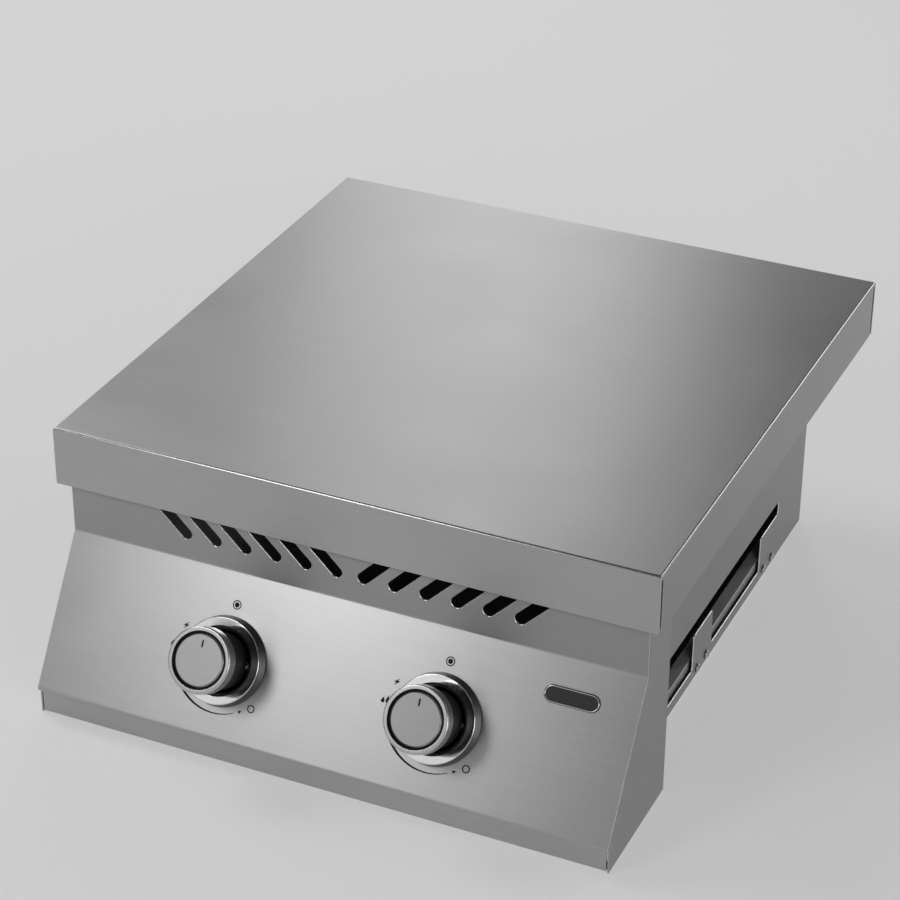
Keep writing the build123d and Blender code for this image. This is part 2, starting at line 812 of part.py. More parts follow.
# Valve plugs: the turning cores, bored for the stems' D section
for side, sign in sides:
    with BuildPart() as valve_plug:
        with BuildSketch(knob_face(sign).offset(touch_gap - plug_foot)):
            Circle(plug_radius)
            d_shape(stem_bore, stem_flat + shaft_gap, Mode.SUBTRACT)
        extrude(amount=plug_foot - touch_gap - plug_top)
    save(valve_plug, f"{side}_valve_plug")

# Valve stems: D shafts from the plugs to the knobs, with a collar under the guide
collar_top = guide_foot + touch_gap
for side, sign in sides:
    with BuildPart() as valve_stem:
        with BuildSketch(knob_face(sign).offset(-stem_foot)):
            d_shape(stem_radius, stem_flat)
        extrude(amount=stem_foot + knob_foot + stem_grip)
        with BuildSketch(knob_face(sign).offset(-collar_top)):
            Circle(collar_radius)
        extrude(amount=-collar_thick)
    save(valve_stem, f"{side}_valve_stem")

# Return springs round the stems, between plug and collar
spring_room = plug_top - collar_top - collar_thick - spring_wire - 2 * shaft_gap
for side, sign in sides:
    spring_start = knob_face(sign).origin - normal * (plug_top - spring_wire / 2 - shaft_gap)
    with BuildPart() as return_spring:
        with BuildLine() as spring_line:
            coil(spring_start, normal, across, spring_radius, spring_room / spring_turns, spring_turns)
        with BuildSketch(Plane(origin=spring_line.line @ 0, z_dir=spring_line.line % 0)):
            Circle(spring_wire / 2)
        sweep()
    save(return_spring, f"{side}_return_spring")
    room = coil_room(spring_line.line, spring_turns, spring_wire)
    print(f"{side} return spring, least room between turns: {room:.2f} mm")

# Knob bodies: hollow grips on the stems
ring_in = knob_radius - ring_wall
ring_back = knob_height - ring_depth
groove_floor = knob_height - groove_depth
for side, sign in sides:
    with BuildPart() as knob_body:
        turn(
            knob_section(sign),
            [
                (0, knob_foot),
                (knob_waist, knob_foot),
                (knob_waist, ring_back),
                (ring_in - shaft_gap, ring_back),
                (ring_in - shaft_gap, groove_floor),
                (0, groove_floor),
            ],
        )
        turn(
            knob_section(sign),
            [
                (hub_radius, knob_foot),
                (knob_waist - skirt_wall, knob_foot),
                (knob_waist - skirt_wall, knob_foot + cavity_depth),
                (hub_radius, knob_foot + cavity_depth),
            ],
            Mode.SUBTRACT,
        )
        with BuildSketch(knob_face(sign).offset(knob_foot)):
            d_shape(stem_bore, stem_flat + shaft_gap)
        extrude(amount=stem_grip, mode=Mode.SUBTRACT)
    save(knob_body, f"{side}_knob_body")

    # Bright ring round the knob's front
    with BuildPart() as knob_ring:
        with BuildSketch(knob_face(sign).offset(ring_back)):
            Circle(knob_radius)
            Circle(ring_in, mode=Mode.SUBTRACT)
        extrude(amount=ring_depth)
        fillet(knob_ring.edges().group_by(Axis(knob_face(sign).origin, normal))[-1], ring_round)
    save(knob_ring, f"{side}_knob_ring")

    # Brushed disc in the knob's front
    with BuildPart() as knob_disc:
        with BuildSketch(knob_face(sign).offset(groove_floor)):
            Circle(disc_radius)
        extrude(amount=disc_thick)
    save(knob_disc, f"{side}_knob_disc")

    # Bezel round the knob's foot
    with BuildPart() as bezel:
        turn(
            knob_section(sign),
            [
                (stem_hole, 0),
                (bezel_radius, 0),
                (bezel_rim_radius, bezel_height),
                (bezel_rim_radius - bezel_lip, bezel_height),
                (bezel_mouth, bezel_height - bezel_dish),
                (bezel_mouth, bezel_base),
                (stem_hole, bezel_base),
            ],
        )
        with BuildSketch(knob_face(sign)):
            with GridLocations(2 * bezel_screw_place, 0, 2, 1):
                Circle(screw_radius + shaft_gap)
        extrude(amount=bezel_base, mode=Mode.SUBTRACT)
    save(bezel, f"{side}_bezel")

# Screws that clamp bezel, panel and valve flange together
with BuildPart() as bezel_screws:
    for sign in (-1, 1):
        with BuildSketch(knob_face(sign).offset(bezel_base)):
            with GridLocations(2 * bezel_screw_place, 0, 2, 1):
                Circle(screw_head_radius)
        extrude(amount=screw_head_height)
        with BuildSketch(knob_face(sign).offset(bezel_base)):
            with GridLocations(2 * bezel_screw_place, 0, 2, 1):
                Circle(screw_radius)
        extrude(amount=-bezel_base - guide_foot)
save(bezel_screws, "bezel_screws")

# Gas manifold across the housing, closed at its left end
pipe_bore = pipe_radius - pipe_wall
with BuildPart() as gas_manifold:
    with BuildSketch(Plane.YZ.offset(-manifold_left)):
        with Locations((manifold_y, manifold_z)):
            Circle(pipe_radius)
    extrude(amount=manifold_left + manifold_right)
    with BuildSketch(Plane.YZ.offset(pipe_end - manifold_left)):
        with Locations((manifold_y, manifold_z)):
            Circle(pipe_bore)
    extrude(amount=manifold_left + manifold_right - pipe_end, mode=Mode.SUBTRACT)
save(gas_manifold, "gas_manifold")

# Clamps that hold the manifold to the bulkhead
with BuildPart() as manifold_clamps:
    for sign in (-1, 1):
        with BuildSketch(Plane.YZ.offset(sign * clamp_place)):
            with Locations((manifold_y, manifold_z)):
                Circle(pipe_radius + clamp_wall)
            patch(manifold_y, box_front, manifold_z - clamp_wall / 2, manifold_z + clamp_wall / 2)
            patch(box_front - clamp_wall, box_front, manifold_z - clamp_foot, manifold_z + clamp_foot)
            with Locations((manifold_y, manifold_z)):
                Circle(pipe_radius + shaft_gap, mode=Mode.SUBTRACT)
        extrude(amount=clamp_width / 2, both=True)
save(manifold_clamps, "manifold_clamps")

# Elbow from the manifold to the supply pipe
with BuildPart() as manifold_elbow:
    with BuildSketch(Plane.XY.offset(manifold_z - elbow_half)):
        patch(elbow_x - elbow_half, elbow_x + elbow_half, manifold_y - elbow_half, manifold_y + elbow_half)
    extrude(amount=2 * elbow_half)
    fillet(manifold_elbow.edges(), elbow_round)
    with BuildSketch(Plane.YZ.offset(elbow_x)):
        with Locations((manifold_y, manifold_z)):
            Circle(pipe_bore)
    extrude(amount=-elbow_half, mode=Mode.SUBTRACT)
    with BuildSketch(cross_plane(manifold_y)):
        with Locations((elbow_x, manifold_z)):
            Circle(pipe_bore)
    extrude(amount=-elbow_half, mode=Mode.SUBTRACT)
save(manifold_elbow, "manifold_elbow")

# Supply pipe through the box to the rear wall
pipe_front = manifold_y + elbow_half
with BuildPart() as gas_supply_pipe:
    with BuildSketch(cross_plane(pipe_front)):
        with Locations((elbow_x, manifold_z)):
            Circle(pipe_radius)
            Circle(pipe_bore, mode=Mode.SUBTRACT)
    extrude(amount=pipe_front - inlet_y)
save(gas_supply_pipe, "gas_supply_pipe")

# Gas inlet: a male flare fitting through the rear wall
inlet_section = Plane(origin=(elbow_x, 0, manifold_z), x_dir=across, z_dir=(0, 0, 1))
stub_y = box_rear + inlet_hex_length
inlet_end = stub_y + inlet_length
with BuildPart() as gas_inlet_fitting:
    turn(
        inlet_section,
        [
            (inlet_bore, inlet_y),
            (inlet_flange, inlet_y),
            (inlet_flange, rear_wall_front),
            (inlet_body, rear_wall_front),
            (inlet_body, stub_y),
            (inlet_radius, stub_y),
            (inlet_radius, inlet_end - inlet_flare),
            (inlet_radius - inlet_flare, inlet_end),
            (inlet_bore, inlet_end),
        ],
    )
    with BuildSketch(cross_plane(box_rear)):
        with Locations((elbow_x, manifold_z)):
            RegularPolygon(inlet_hex, hex_sides)
            Circle(inlet_bore, mode=Mode.SUBTRACT)
    extrude(amount=-inlet_hex_length)
save(gas_inlet_fitting, "gas_inlet_fitting")

# Piezo igniters beside the valves
for side, sign in sides:
    with BuildPart() as piezo:
        with BuildSketch(knob_face(sign).offset(-piezo_foot)):
            with Locations((sign * (valve_half + piezo_width / 2), 0)):
                Rectangle(piezo_width, 2 * piezo_half)
        extrude(amount=piezo_foot - piezo_top)
    save(piezo, f"{side}_piezo")

# Electrodes beside the rings, each in a small plate under its ring
outer_edge = outer_ring_radius + ring_half
inner_edge = inner_ring_radius + ring_half
ring_space = outer_ring_radius - ring_half - inner_edge
electrodes = [
    ("outer", outer_edge, outer_edge + electrode_offset, outer_electrode_angle),
    ("inner", inner_edge, inner_edge + ring_space / 2, inner_electrode_angle),
]
electrode_foot = ring_z - electrode_drop
for ring, edge, radius, angle in electrodes:
    with BuildPart() as electrode:
        with BuildSketch(Plane.XY.offset(electrode_foot)):
            with Locations(ring_place(radius, angle)):
                Circle(electrode_radius)
                Circle(pin_radius + shaft_gap, mode=Mode.SUBTRACT)
        extrude(amount=electrode_drop + electrode_rise)
    save(electrode, f"{ring}_electrode")

with BuildPart() as electrode_pins:
    with BuildSketch(Plane.XY.offset(electrode_foot)):
        for ring, edge, radius, angle in electrodes:
            with Locations(ring_place(radius, angle)):
                Circle(pin_radius)
    extrude(amount=electrode_drop + electrode_rise + pin_over)
save(electrode_pins, "electrode_pins")

with BuildPart() as electrode_plates:
    with BuildSketch(Plane.XY.offset(ring_z - plate_thick)):
        for ring, edge, radius, angle in electrodes:
            plate_in = edge - plate_lap
            plate_out = radius + plate_half
            with Locations(ring_place((plate_in + plate_out) / 2, angle)):
                Rectangle(plate_out - plate_in, 2 * plate_half, rotation=angle)
            with Locations(ring_place(radius, angle)):
                Circle(electrode_radius + shaft_gap, mode=Mode.SUBTRACT)
    extrude(amount=plate_thick)
save(electrode_plates, "electrode_plates")
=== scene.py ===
import json
import math

import bmesh
import bpy
from mathutils import Matrix, Vector

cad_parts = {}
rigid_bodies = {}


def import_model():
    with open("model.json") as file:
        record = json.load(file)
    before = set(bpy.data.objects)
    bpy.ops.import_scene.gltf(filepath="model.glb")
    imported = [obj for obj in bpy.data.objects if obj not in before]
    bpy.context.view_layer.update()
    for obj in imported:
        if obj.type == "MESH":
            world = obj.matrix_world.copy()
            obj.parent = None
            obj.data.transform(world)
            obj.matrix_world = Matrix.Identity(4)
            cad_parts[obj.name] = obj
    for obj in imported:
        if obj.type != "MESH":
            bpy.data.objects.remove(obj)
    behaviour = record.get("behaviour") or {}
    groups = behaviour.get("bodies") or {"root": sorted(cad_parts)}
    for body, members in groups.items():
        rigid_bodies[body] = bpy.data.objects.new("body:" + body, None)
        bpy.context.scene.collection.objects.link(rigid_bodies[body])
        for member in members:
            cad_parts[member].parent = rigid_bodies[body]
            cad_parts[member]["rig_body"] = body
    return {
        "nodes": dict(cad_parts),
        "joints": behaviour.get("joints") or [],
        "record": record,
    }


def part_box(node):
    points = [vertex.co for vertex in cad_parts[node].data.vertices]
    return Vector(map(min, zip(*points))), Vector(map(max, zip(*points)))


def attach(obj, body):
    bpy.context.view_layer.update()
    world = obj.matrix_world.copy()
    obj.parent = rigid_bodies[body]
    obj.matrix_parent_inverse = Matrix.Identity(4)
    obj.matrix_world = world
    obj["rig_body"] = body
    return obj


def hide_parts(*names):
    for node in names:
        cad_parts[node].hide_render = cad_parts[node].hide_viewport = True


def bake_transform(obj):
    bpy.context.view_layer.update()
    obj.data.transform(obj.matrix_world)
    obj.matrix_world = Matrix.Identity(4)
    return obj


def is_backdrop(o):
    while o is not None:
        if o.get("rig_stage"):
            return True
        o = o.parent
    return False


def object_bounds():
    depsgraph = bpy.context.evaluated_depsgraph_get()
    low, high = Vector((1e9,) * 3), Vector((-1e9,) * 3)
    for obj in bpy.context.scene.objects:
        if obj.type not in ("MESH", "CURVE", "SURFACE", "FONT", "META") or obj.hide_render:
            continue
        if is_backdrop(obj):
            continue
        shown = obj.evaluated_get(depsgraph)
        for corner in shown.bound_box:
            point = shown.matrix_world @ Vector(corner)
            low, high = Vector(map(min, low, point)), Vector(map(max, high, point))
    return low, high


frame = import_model()
cad_low, cad_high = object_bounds()

# The looks of a built-in power burner. Metres; X is right, Y is back, Z is up.
scene = bpy.context.scene
nodes = frame["nodes"]
joints = {joint["name"]: joint for joint in frame["joints"]}
sides = ("left", "right")
mm = 0.001

# Camera of the photograph
camera_place = Vector((0.7559, -1.6896, 1.2253))
camera_azimuth = 24.41
camera_elevation = 30.23
camera_roll = 0.34
camera_lens = 111.68
camera_sensor = 36.0

# Soft edges
merge_gap = 0.002 * mm
flat_angle = math.radians(0.4)
edge_angle = math.radians(40)
edge_weights = "bevel_weight_edge"
sheet_edge = 0.28 * mm
cut_round = 0.5 * mm
slot_rim = 0.85 * mm
strip_half = 190.0 * mm
strip_foot = 131.0 * mm
cast_edge = 1.1 * mm
cap_seam = 0.8 * mm
web_depth = 1.3 * mm
runner_gap = 1.4 * mm
badge_edge = 0.3 * mm
foot_clear = 1.0 * mm
rear_clear = 2.0 * mm
normal_weight = 80
square_on = 0.97
facing = 0.8

# Grain of the finishes
pattern_low = 0.3
pattern_high = 0.7
brush_length = 45.0 * mm
brush_width = 0.32 * mm
scratch_length = 120.0 * mm
scratch_width = 1.1 * mm
rolled_length = 60.0 * mm
rolled_width = 0.9 * mm
brush_depth = 0.02 * mm
tool_depth = 0.01 * mm

# Turned pieces, in radius and height off the panel
turn_steps = 128
corner_steps = 6
turn_radius = 10 * mm
bezel_radius = 33.5 * mm
bezel_height = 9.5 * mm
bezel_crest = 31.9 * mm
bezel_lip = 25.8 * mm
bezel_lip_height = 9.2 * mm
bezel_mouth = 23.5 * mm
bezel_mouth_height = 7.0 * mm
bezel_floor = 2.0 * mm
bezel_hole = 7.0 * mm
bezel_wall_foot = 1.0 * mm
foot_round = 0.4 * mm
crest_round = 0.7 * mm
lip_round = 0.6 * mm
knob_radius = 24.5 * mm
knob_height = 43.0 * mm
ring_back = 32.5 * mm
ring_inside = 21.2 * mm
ring_front_round = 1.2 * mm
ring_back_round = 0.8 * mm
ring_inner_round = 0.25 * mm
ring_seat_round = 0.2 * mm
groove_floor = 41.0 * mm
knob_waist = 21.0 * mm
knob_foot = 6.0 * mm
knob_wall = 2.5 * mm
knob_fit = 0.05 * mm
knob_lip_round = 0.3 * mm
cavity_top = 26.0 * mm
hub_radius = 9.0 * mm
stem_radius = 4.05 * mm
stem_top = 34.0 * mm
disc_radius = 19.1 * mm
disc_bevel = 0.9 * mm
disc_top = 42.6 * mm
disc_round = 0.15 * mm

# Printed marks round the knobs
print_lift = 0.02 * mm
print_depth = 0.03 * mm
off_radius = 41.9 * mm
off_outside = 3.5 * mm
off_inside = 2.7 * mm
off_dot = 1.9 * mm
low_radius = 41.0 * mm
low_clock = 134
low_outside = 3.0 * mm
low_inside = 2.1 * mm
spark_radius = 40.2 * mm
spark_clock = -63
spark_size = 6.0 * mm
high_radius = 41.6 * mm
high_clock = -85
small_flame = 4.6 * mm
small_flame_left = 1.9 * mm
large_flame = 5.6 * mm
large_flame_right = 2.1 * mm
large_flame_up = 0.8 * mm
flame_width = 0.34
flame_belly = 0.55
flame_taper = 0.25
stroke_radius = 38.5 * mm
stroke_start = -96
stroke_end = -206
stroke_wide = 2.6 * mm
stroke_narrow = 0.5 * mm
arrow_radius = 38.6 * mm
arrow_clock = 147
arrow_size = 3.0 * mm
pointer_reach = 12.2 * mm
pointer_length = 5.6 * mm
pointer_width = 1.3 * mm

# Badge place
badge_length = 42.0 * mm
badge_width = 13.0 * mm
badge_thick = 1.0 * mm
badge_rim_inset = 0.9 * mm
badge_rim_radius = 0.42 * mm
badge_rim_steps = 12

# Screws and the gas inlet's thread
screw_head_radius = 3.6 * mm
screw_head_height = 2.2 * mm
screw_head_steps = 40
screw_dome = 1.9
screw_dome_steps = 48
screw_dome_rings = 32
screw_recess = 0.9 * mm
screw_recess_depth = 1.1 * mm
screw_recess_reach = 1.15
screw_shank = 2.0 * mm
screw_shank_steps = 24
screw_seed = 7
stub_radius = 7.9 * mm
stub_length = 14.0 * mm
thread_start = 1.4 * mm
thread_length = 9.8 * mm
thread_pitch = 1.4 * mm
thread_ridge = 0.5 * mm
thread_ridge_steps = 8
thread_sunk = 0.25 * mm
thread_steps = 48
thread_fade = 0.1
thread_end = 0.05

# Studio
sky_tones = ((0.0, 0.44), (0.3, 0.26), (0.7, 0.07))
floor_reach = 14.0
floor_gap = 0.3 * mm
floor_paint = (0.80, 0.80, 0.81, 1)
floor_dullness = 0.9
floor_glow = (0.92, 0.92, 0.93, 1)
floor_glow_share = 0.40


class Finish:
    """A node material in the making."""

    def __init__(self, name, sockets):
        self.material = bpy.data.materials.new(name)
        self.material.use_nodes = True
        self.tree = self.material.node_tree
        self.shader = self.tree.nodes["Principled BSDF"]
        for socket, value in sockets.items():
            self.shader.inputs[socket].default_value = value
        self.coordinates = self.tree.nodes.new("ShaderNodeTexCoord").outputs["Object"]

    def join(self, output, target):
        self.tree.links.new(output, target)

    def noise(self, scale, detail=3.0, roughness=0.55):
        """Noise stretched by three scales, each in bumps per metre."""
        mapping = self.tree.nodes.new("ShaderNodeMapping")
        mapping.inputs["Scale"].default_value = scale
        self.join(self.coordinates, mapping.inputs["Vector"])
        noise = self.tree.nodes.new("ShaderNodeTexNoise")
        noise.inputs["Scale"].default_value = 1.0
        noise.inputs["Detail"].default_value = detail
        noise.inputs["Roughness"].default_value = roughness
        self.join(mapping.outputs["Vector"], noise.inputs["Vector"])
        return noise.outputs["Fac"]

    def sum(self, first, second, share):
        """Two patterns in one, with the second one's share."""
        mix = self.tree.nodes.new("ShaderNodeMix")
        mix.inputs["Factor"].default_value = share
        self.join(first, mix.inputs["A"])
        self.join(second, mix.inputs["B"])
        return mix.outputs["Result"]

    def spread(self, pattern, low, high):
        """A pattern's middle range stretched between two values."""
        spread = self.tree.nodes.new("ShaderNodeMapRange")
        spread.inputs["From Min"].default_value = pattern_low
        spread.inputs["From Max"].default_value = pattern_high
        spread.inputs["To Min"].default_value = low
        spread.inputs["To Max"].default_value = high
        self.join(pattern, spread.inputs["Value"])
        return spread.outputs["Result"]

    def color(self, pattern, *stops):
        """Colours along a pattern's middle range."""
        ramp = self.tree.nodes.new("ShaderNodeValToRGB")
        elements = ramp.color_ramp.elements
        while len(elements) < len(stops):
            elements.new(0.5)
        gap = (pattern_high - pattern_low) / (len(stops) - 1)
        for step, stop in enumerate(stops):
            elements[step].position = pattern_low + gap * step
            elements[step].color = (*stop, 1.0)
        self.join(pattern, ramp.inputs["Fac"])
        self.join(ramp.outputs["Color"], self.shader.inputs["Base Color"])

    def rough(self, pattern, low, high):
        self.join(self.spread(pattern, low, high), self.shader.inputs["Roughness"])

    def relief(self, pattern, height, strength):
        """Fine relief of a real height."""
        bump = self.tree.nodes.new("ShaderNodeBump")
        bump.inputs["Strength"].default_value = strength
        bump.inputs["Distance"].default_value = height
        self.join(pattern, bump.inputs["Height"])
        self.join(bump.outputs["Normal"], self.shader.inputs["Normal"])

    def brush_along(self, axis):
        """Turn the stretched gloss across brush lines that run along an axis."""
        tangent = self.tree.nodes.new("ShaderNodeTangent")
        tangent.direction_type = "RADIAL"
        tangent.axis = axis
        self.join(tangent.outputs["Tangent"], self.shader.inputs["Tangent"])


def along(axis, length, width):
    """Scales of a pattern that is long on one axis and narrow on the others."""
    scales = [1 / width] * 3
    scales["XYZ".index(axis)] = 1 / length
    return scales


def brushed_steel(name, axis, dark, light, smooth, dull):
    """Stainless sheet with brush lines along an axis, soft clouds and a few longer scratches."""
    steel = Finish(name, {"Metallic": 1.0, "Anisotropic": 0.75})
    lines = steel.noise(along(axis, brush_length, brush_width), detail=4)
    scratches = steel.noise(along(axis, scratch_length, scratch_width), detail=2)
    clouds = steel.noise((9, 9, 9), detail=4)
    grain = steel.sum(lines, scratches, share=0.35)
    steel.color(steel.sum(grain, clouds, share=0.35), [dark] * 3, [light] * 3)
    steel.rough(steel.sum(grain, clouds, share=0.4), smooth, dull)
    steel.relief(grain, brush_depth, strength=0.22)
    steel.brush_along(axis)
    return steel.material


def mill_steel(name, axis, dark, light):
    """Unpolished sheet: rolled lines under a mottled skin."""
    steel = Finish(name, {"Metallic": 1.0, "Anisotropic": 0.25})
    rolled = steel.noise(along(axis, rolled_length, rolled_width), detail=3)
    mottle = steel.noise((60, 60, 60), detail=5)
    skin = steel.sum(rolled, mottle, share=0.55)
    steel.color(skin, [dark] * 3, [light] * 3)
    steel.rough(skin, low=0.34, high=0.52)
    steel.relief(rolled, brush_depth, strength=0.2)
    steel.brush_along(axis)
    return steel.material


def chrome(name, dark, light, smooth, dull):
    """Plating with faint wiping marks."""
    plate = Finish(name, {"Metallic": 1.0})
    wiped = plate.noise((180, 180, 180), detail=4)
    haze = plate.noise((25, 25, 25), detail=2)
    plate.color(haze, [dark] * 3, [light] * 3)
    plate.rough(plate.sum(wiped, haze, share=0.5), smooth, dull)
    return plate.material


def moulded(name, dark, light, smooth, dull, grain, height, gloss=0.5):
    """Moulded plastic or rubber with a fine skin."""
    skin = Finish(name, {"Specular IOR Level": gloss})
    fine = skin.noise((grain, grain, grain), detail=2)
    clouds = skin.noise((40, 40, 40), detail=3)
    skin.color(skin.sum(fine, clouds, share=0.5), dark, light)
    skin.rough(clouds, smooth, dull)
    skin.relief(fine, height, strength=0.35)
    return skin.material


def cast_metal(name, metallic, colors, smooth, dull, grain, height):
    """Cast metal: sandy relief, and colour that wanders over the piece."""
    cast = Finish(name, {"Metallic": metallic})
    sand = cast.noise((grain, grain, grain), detail=5, roughness=0.65)
    drift = cast.noise((22, 22, 22), detail=4)
    cast.color(cast.sum(drift, sand, share=0.4), *colors)
    cast.rough(cast.sum(sand, drift, share=0.4), smooth, dull)
    cast.relief(sand, height, strength=0.55)
    return cast.material


def machined(name, colors, smooth, dull):
    """Turned or drawn metal with fine tool lines and a little tarnish."""
    metal = Finish(name, {"Metallic": 1.0})
    tool = metal.noise((700, 900, 800), detail=2)
    tarnish = metal.noise((70, 70, 70), detail=4)
    metal.color(metal.sum(tarnish, tool, share=0.3), *colors)
    metal.rough(metal.sum(tool, tarnish, share=0.5), smooth, dull)
    metal.relief(tool, tool_depth, strength=0.2)
    return metal.material


finishes = {
    "cover_steel": brushed_steel("cover_steel", "X", dark=0.42, light=0.53, smooth=0.38, dull=0.50),
    "panel_steel": brushed_steel("panel_steel", "X", dark=0.41, light=0.52, smooth=0.38, dull=0.50),
    "box_steel": mill_steel("box_steel", "Y", dark=0.26, light=0.38),
    "bright_chrome": chrome("bright_chrome", dark=0.70, light=0.80, smooth=0.05, dull=0.12),
    "disc_steel": brushed_steel("disc_steel", "X", dark=0.31, light=0.40, smooth=0.34, dull=0.46),
    "knob_black": moulded(
        "knob_black", [0.004] * 3, [0.010] * 3, smooth=0.42, dull=0.56, grain=900, height=0.01 * mm
    ),
    "badge_black": moulded(
        "badge_black", [0.010] * 3, [0.020] * 3, smooth=0.32, dull=0.48, grain=1400, height=0.02 * mm
    ),
    "grate_iron": cast_metal(
        "grate_iron", metallic=0.0, colors=([0.018] * 3, [0.034, 0.033, 0.032]),
        smooth=0.42, dull=0.66, grain=650, height=0.18 * mm,
    ),
    "burner_iron": cast_metal(
        "burner_iron", metallic=0.75,
        colors=([0.10, 0.09, 0.085], [0.17, 0.155, 0.145], [0.24, 0.19, 0.15]),
        smooth=0.48, dull=0.72, grain=700, height=0.15 * mm,
    ),
    "tube_steel": machined(
        "tube_steel", ([0.38, 0.36, 0.34], [0.52, 0.50, 0.47], [0.55, 0.49, 0.40]), smooth=0.26, dull=0.44
    ),
    "brass": machined("brass", ([0.58, 0.40, 0.16], [0.76, 0.57, 0.26]), smooth=0.20, dull=0.36),
    "valve_metal": cast_metal(
        "valve_metal", metallic=0.9, colors=([0.42, 0.42, 0.43], [0.58, 0.58, 0.59]),
        smooth=0.36, dull=0.52, grain=900, height=0.06 * mm,
    ),
    "screw_steel": machined(
        "screw_steel", ([0.46, 0.46, 0.47], [0.62, 0.62, 0.63]), smooth=0.22, dull=0.36
    ),
    "rubber": moulded(
        "rubber", [0.012] * 3, [0.026] * 3, smooth=0.62, dull=0.82, grain=1100, height=0.04 * mm
    ),
    "piezo_plastic": moulded(
        "piezo_plastic", [0.020] * 3, [0.035] * 3, smooth=0.40, dull=0.56, grain=1200, height=0.02 * mm
    ),
    "ceramic": moulded(
        "ceramic", [0.74, 0.71, 0.64], [0.86, 0.84, 0.78],
        smooth=0.14, dull=0.24, grain=500, height=0.01 * mm,
    ),
}
# Steel for faces that look sideways: brush lines along Y, and a darker tone that is painted shade for the
# sides turned from the light.
side_shaded_steel = brushed_steel("side_shaded_steel", "Y", dark=0.30, light=0.40, smooth=0.36, dull=0.48)
slope_steel = brushed_steel("slope_steel", "X", dark=0.41, light=0.52, smooth=0.28, dull=0.38)
strip_steel = brushed_steel("strip_steel", "X", dark=0.38, light=0.48, smooth=0.52, dull=0.62)
fold_steel = brushed_steel("fold_steel", "X", dark=0.40, light=0.50, smooth=0.20, dull=0.28)
# Bare cut metal for slot walls and rounded edges, paler than the sheet: partly the real cut edge, partly a
# painted highlight along the edges.
cut_edge_and_glint = machined("cut_edge_and_glint", ([0.74] * 3, [0.88] * 3), smooth=0.24, dull=0.34)
# A duller zinc coat for the runners' upward faces only; its paler tone on the tops alone is painted light
# where they catch light through the side windows.
lit_top_zinc_coat = cast_metal(
    "lit_top_zinc_coat", metallic=0.35, colors=([0.34] * 3, [0.50] * 3),
    smooth=0.55, dull=0.72, grain=500, height=0.02 * mm,
)
satin_chrome = chrome("satin_chrome", dark=0.52, light=0.60, smooth=0.22, dull=0.30)
# A darker plating for the bezels' outer walls: painted shade for the panel's shadow beside them.
shaded_wall_chrome = chrome("shaded_wall_chrome", dark=0.13, light=0.19, smooth=0.26, dull=0.36)
print_ink = moulded(
    "print_ink", [0.004] * 3, [0.009] * 3, smooth=0.45, dull=0.6, grain=1500, height=0.01 * mm, gloss=0.2
)

slot_of = {part["node"]: part["material_slot"] for part in frame["record"]["subparts"]}
for node, slot in slot_of.items():
    materials = nodes[node].data.materials
    materials.clear()
    materials.append(finishes[slot])


def linked(name, data):
    """A new object in the scene."""
    made = bpy.data.objects.new(name, data)
    scene.collection.objects.link(made)
    return made


def plain_mesh(maker):
    """The mesh that an object's modifiers make; the object itself goes."""
    graph = bpy.context.evaluated_depsgraph_get()
    mesh = bpy.data.meshes.new_from_object(maker.evaluated_get(graph), depsgraph=graph)
    bpy.data.objects.remove(maker)
    return mesh


def shaded(mesh, edge=0.0, steps=2):
    """A mesh with its edges rounded, by weight where it has weights, and its flat faces shaded flat."""
    mesh.shade_smooth()
    maker = linked("maker", mesh)
    if edge:
        bevel = maker.modifiers.new("round_edges", "BEVEL")
        bevel.width = edge
        bevel.segments = steps
        weighed = edge_weights in mesh.attributes
        bevel.limit_method = "WEIGHT" if weighed else "ANGLE"
        bevel.use_clamp_overlap = not weighed
        bevel.loop_slide = not weighed
        bevel.angle_limit = edge_angle
    weights = maker.modifiers.new("flat_faces", "WEIGHTED_NORMAL")
    weights.weight = normal_weight
    return plain_mesh(maker)


def put(name, mesh, finish, body, slot, *stands_for):
    """A finished piece that rides on a body."""
    mesh.name = name
    mesh.materials.clear()
    mesh.materials.append(finish)
    piece = linked(name, mesh)
    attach(piece, body)
    if stands_for:
        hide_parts(*stands_for)


def merged_copy(node):
    """A CAD node's shape as one skin of large faces."""
    source = nodes[node].data
    mesh = bpy.data.meshes.new(node)
    mesh.from_pydata([v.co for v in source.vertices], [], [p.vertices[:] for p in source.polygons])
    skin = bmesh.new()
    skin.from_mesh(mesh)
    bmesh.ops.remove_doubles(skin, verts=skin.verts, dist=merge_gap)
    bmesh.ops.dissolve_limit(skin, angle_limit=flat_angle, verts=skin.verts, edges=skin.edges)
    skin.to_mesh(mesh)
    skin.free()
    return mesh


def soften(node, edge, steps=2, change=None):
    """Stand a copy with rounded edges in for a CAD node."""
    mesh = merged_copy(node)
    if change:
        change(mesh)
    slot = slot_of[node]
    body = nodes[node]["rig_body"]
    put(f"{node}_finished", shaded(mesh, edge, steps), finishes[slot], body, slot, node)


def open_seam(mesh):
    """Move an end cap's front edge back from the panel, so that a thin dark seam shows."""
    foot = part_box("front_panel")[0].z + foot_clear
    rear = max(vertex.co.y for vertex in mesh.vertices) - rear_clear
    for vertex in mesh.vertices:
        if vertex.co.z > foot and vertex.co.y < rear:
            vertex.co.y += cap_seam


def weigh_edges(mesh, is_wide):
    """Give sharp edges a full bevel weight where a test holds for both ends, and a fine one elsewhere."""
    skin = bmesh.new()
    skin.from_mesh(mesh)
    weights = skin.edges.layers.float.new(edge_weights)
    for edge in skin.edges:
        if edge.calc_face_angle(0.0) > edge_angle:
            edge[weights] = 1.0 if all(is_wide(vert.co) for vert in edge.verts) else sheet_edge / slot_rim
    skin.to_mesh(mesh)
    skin.free()


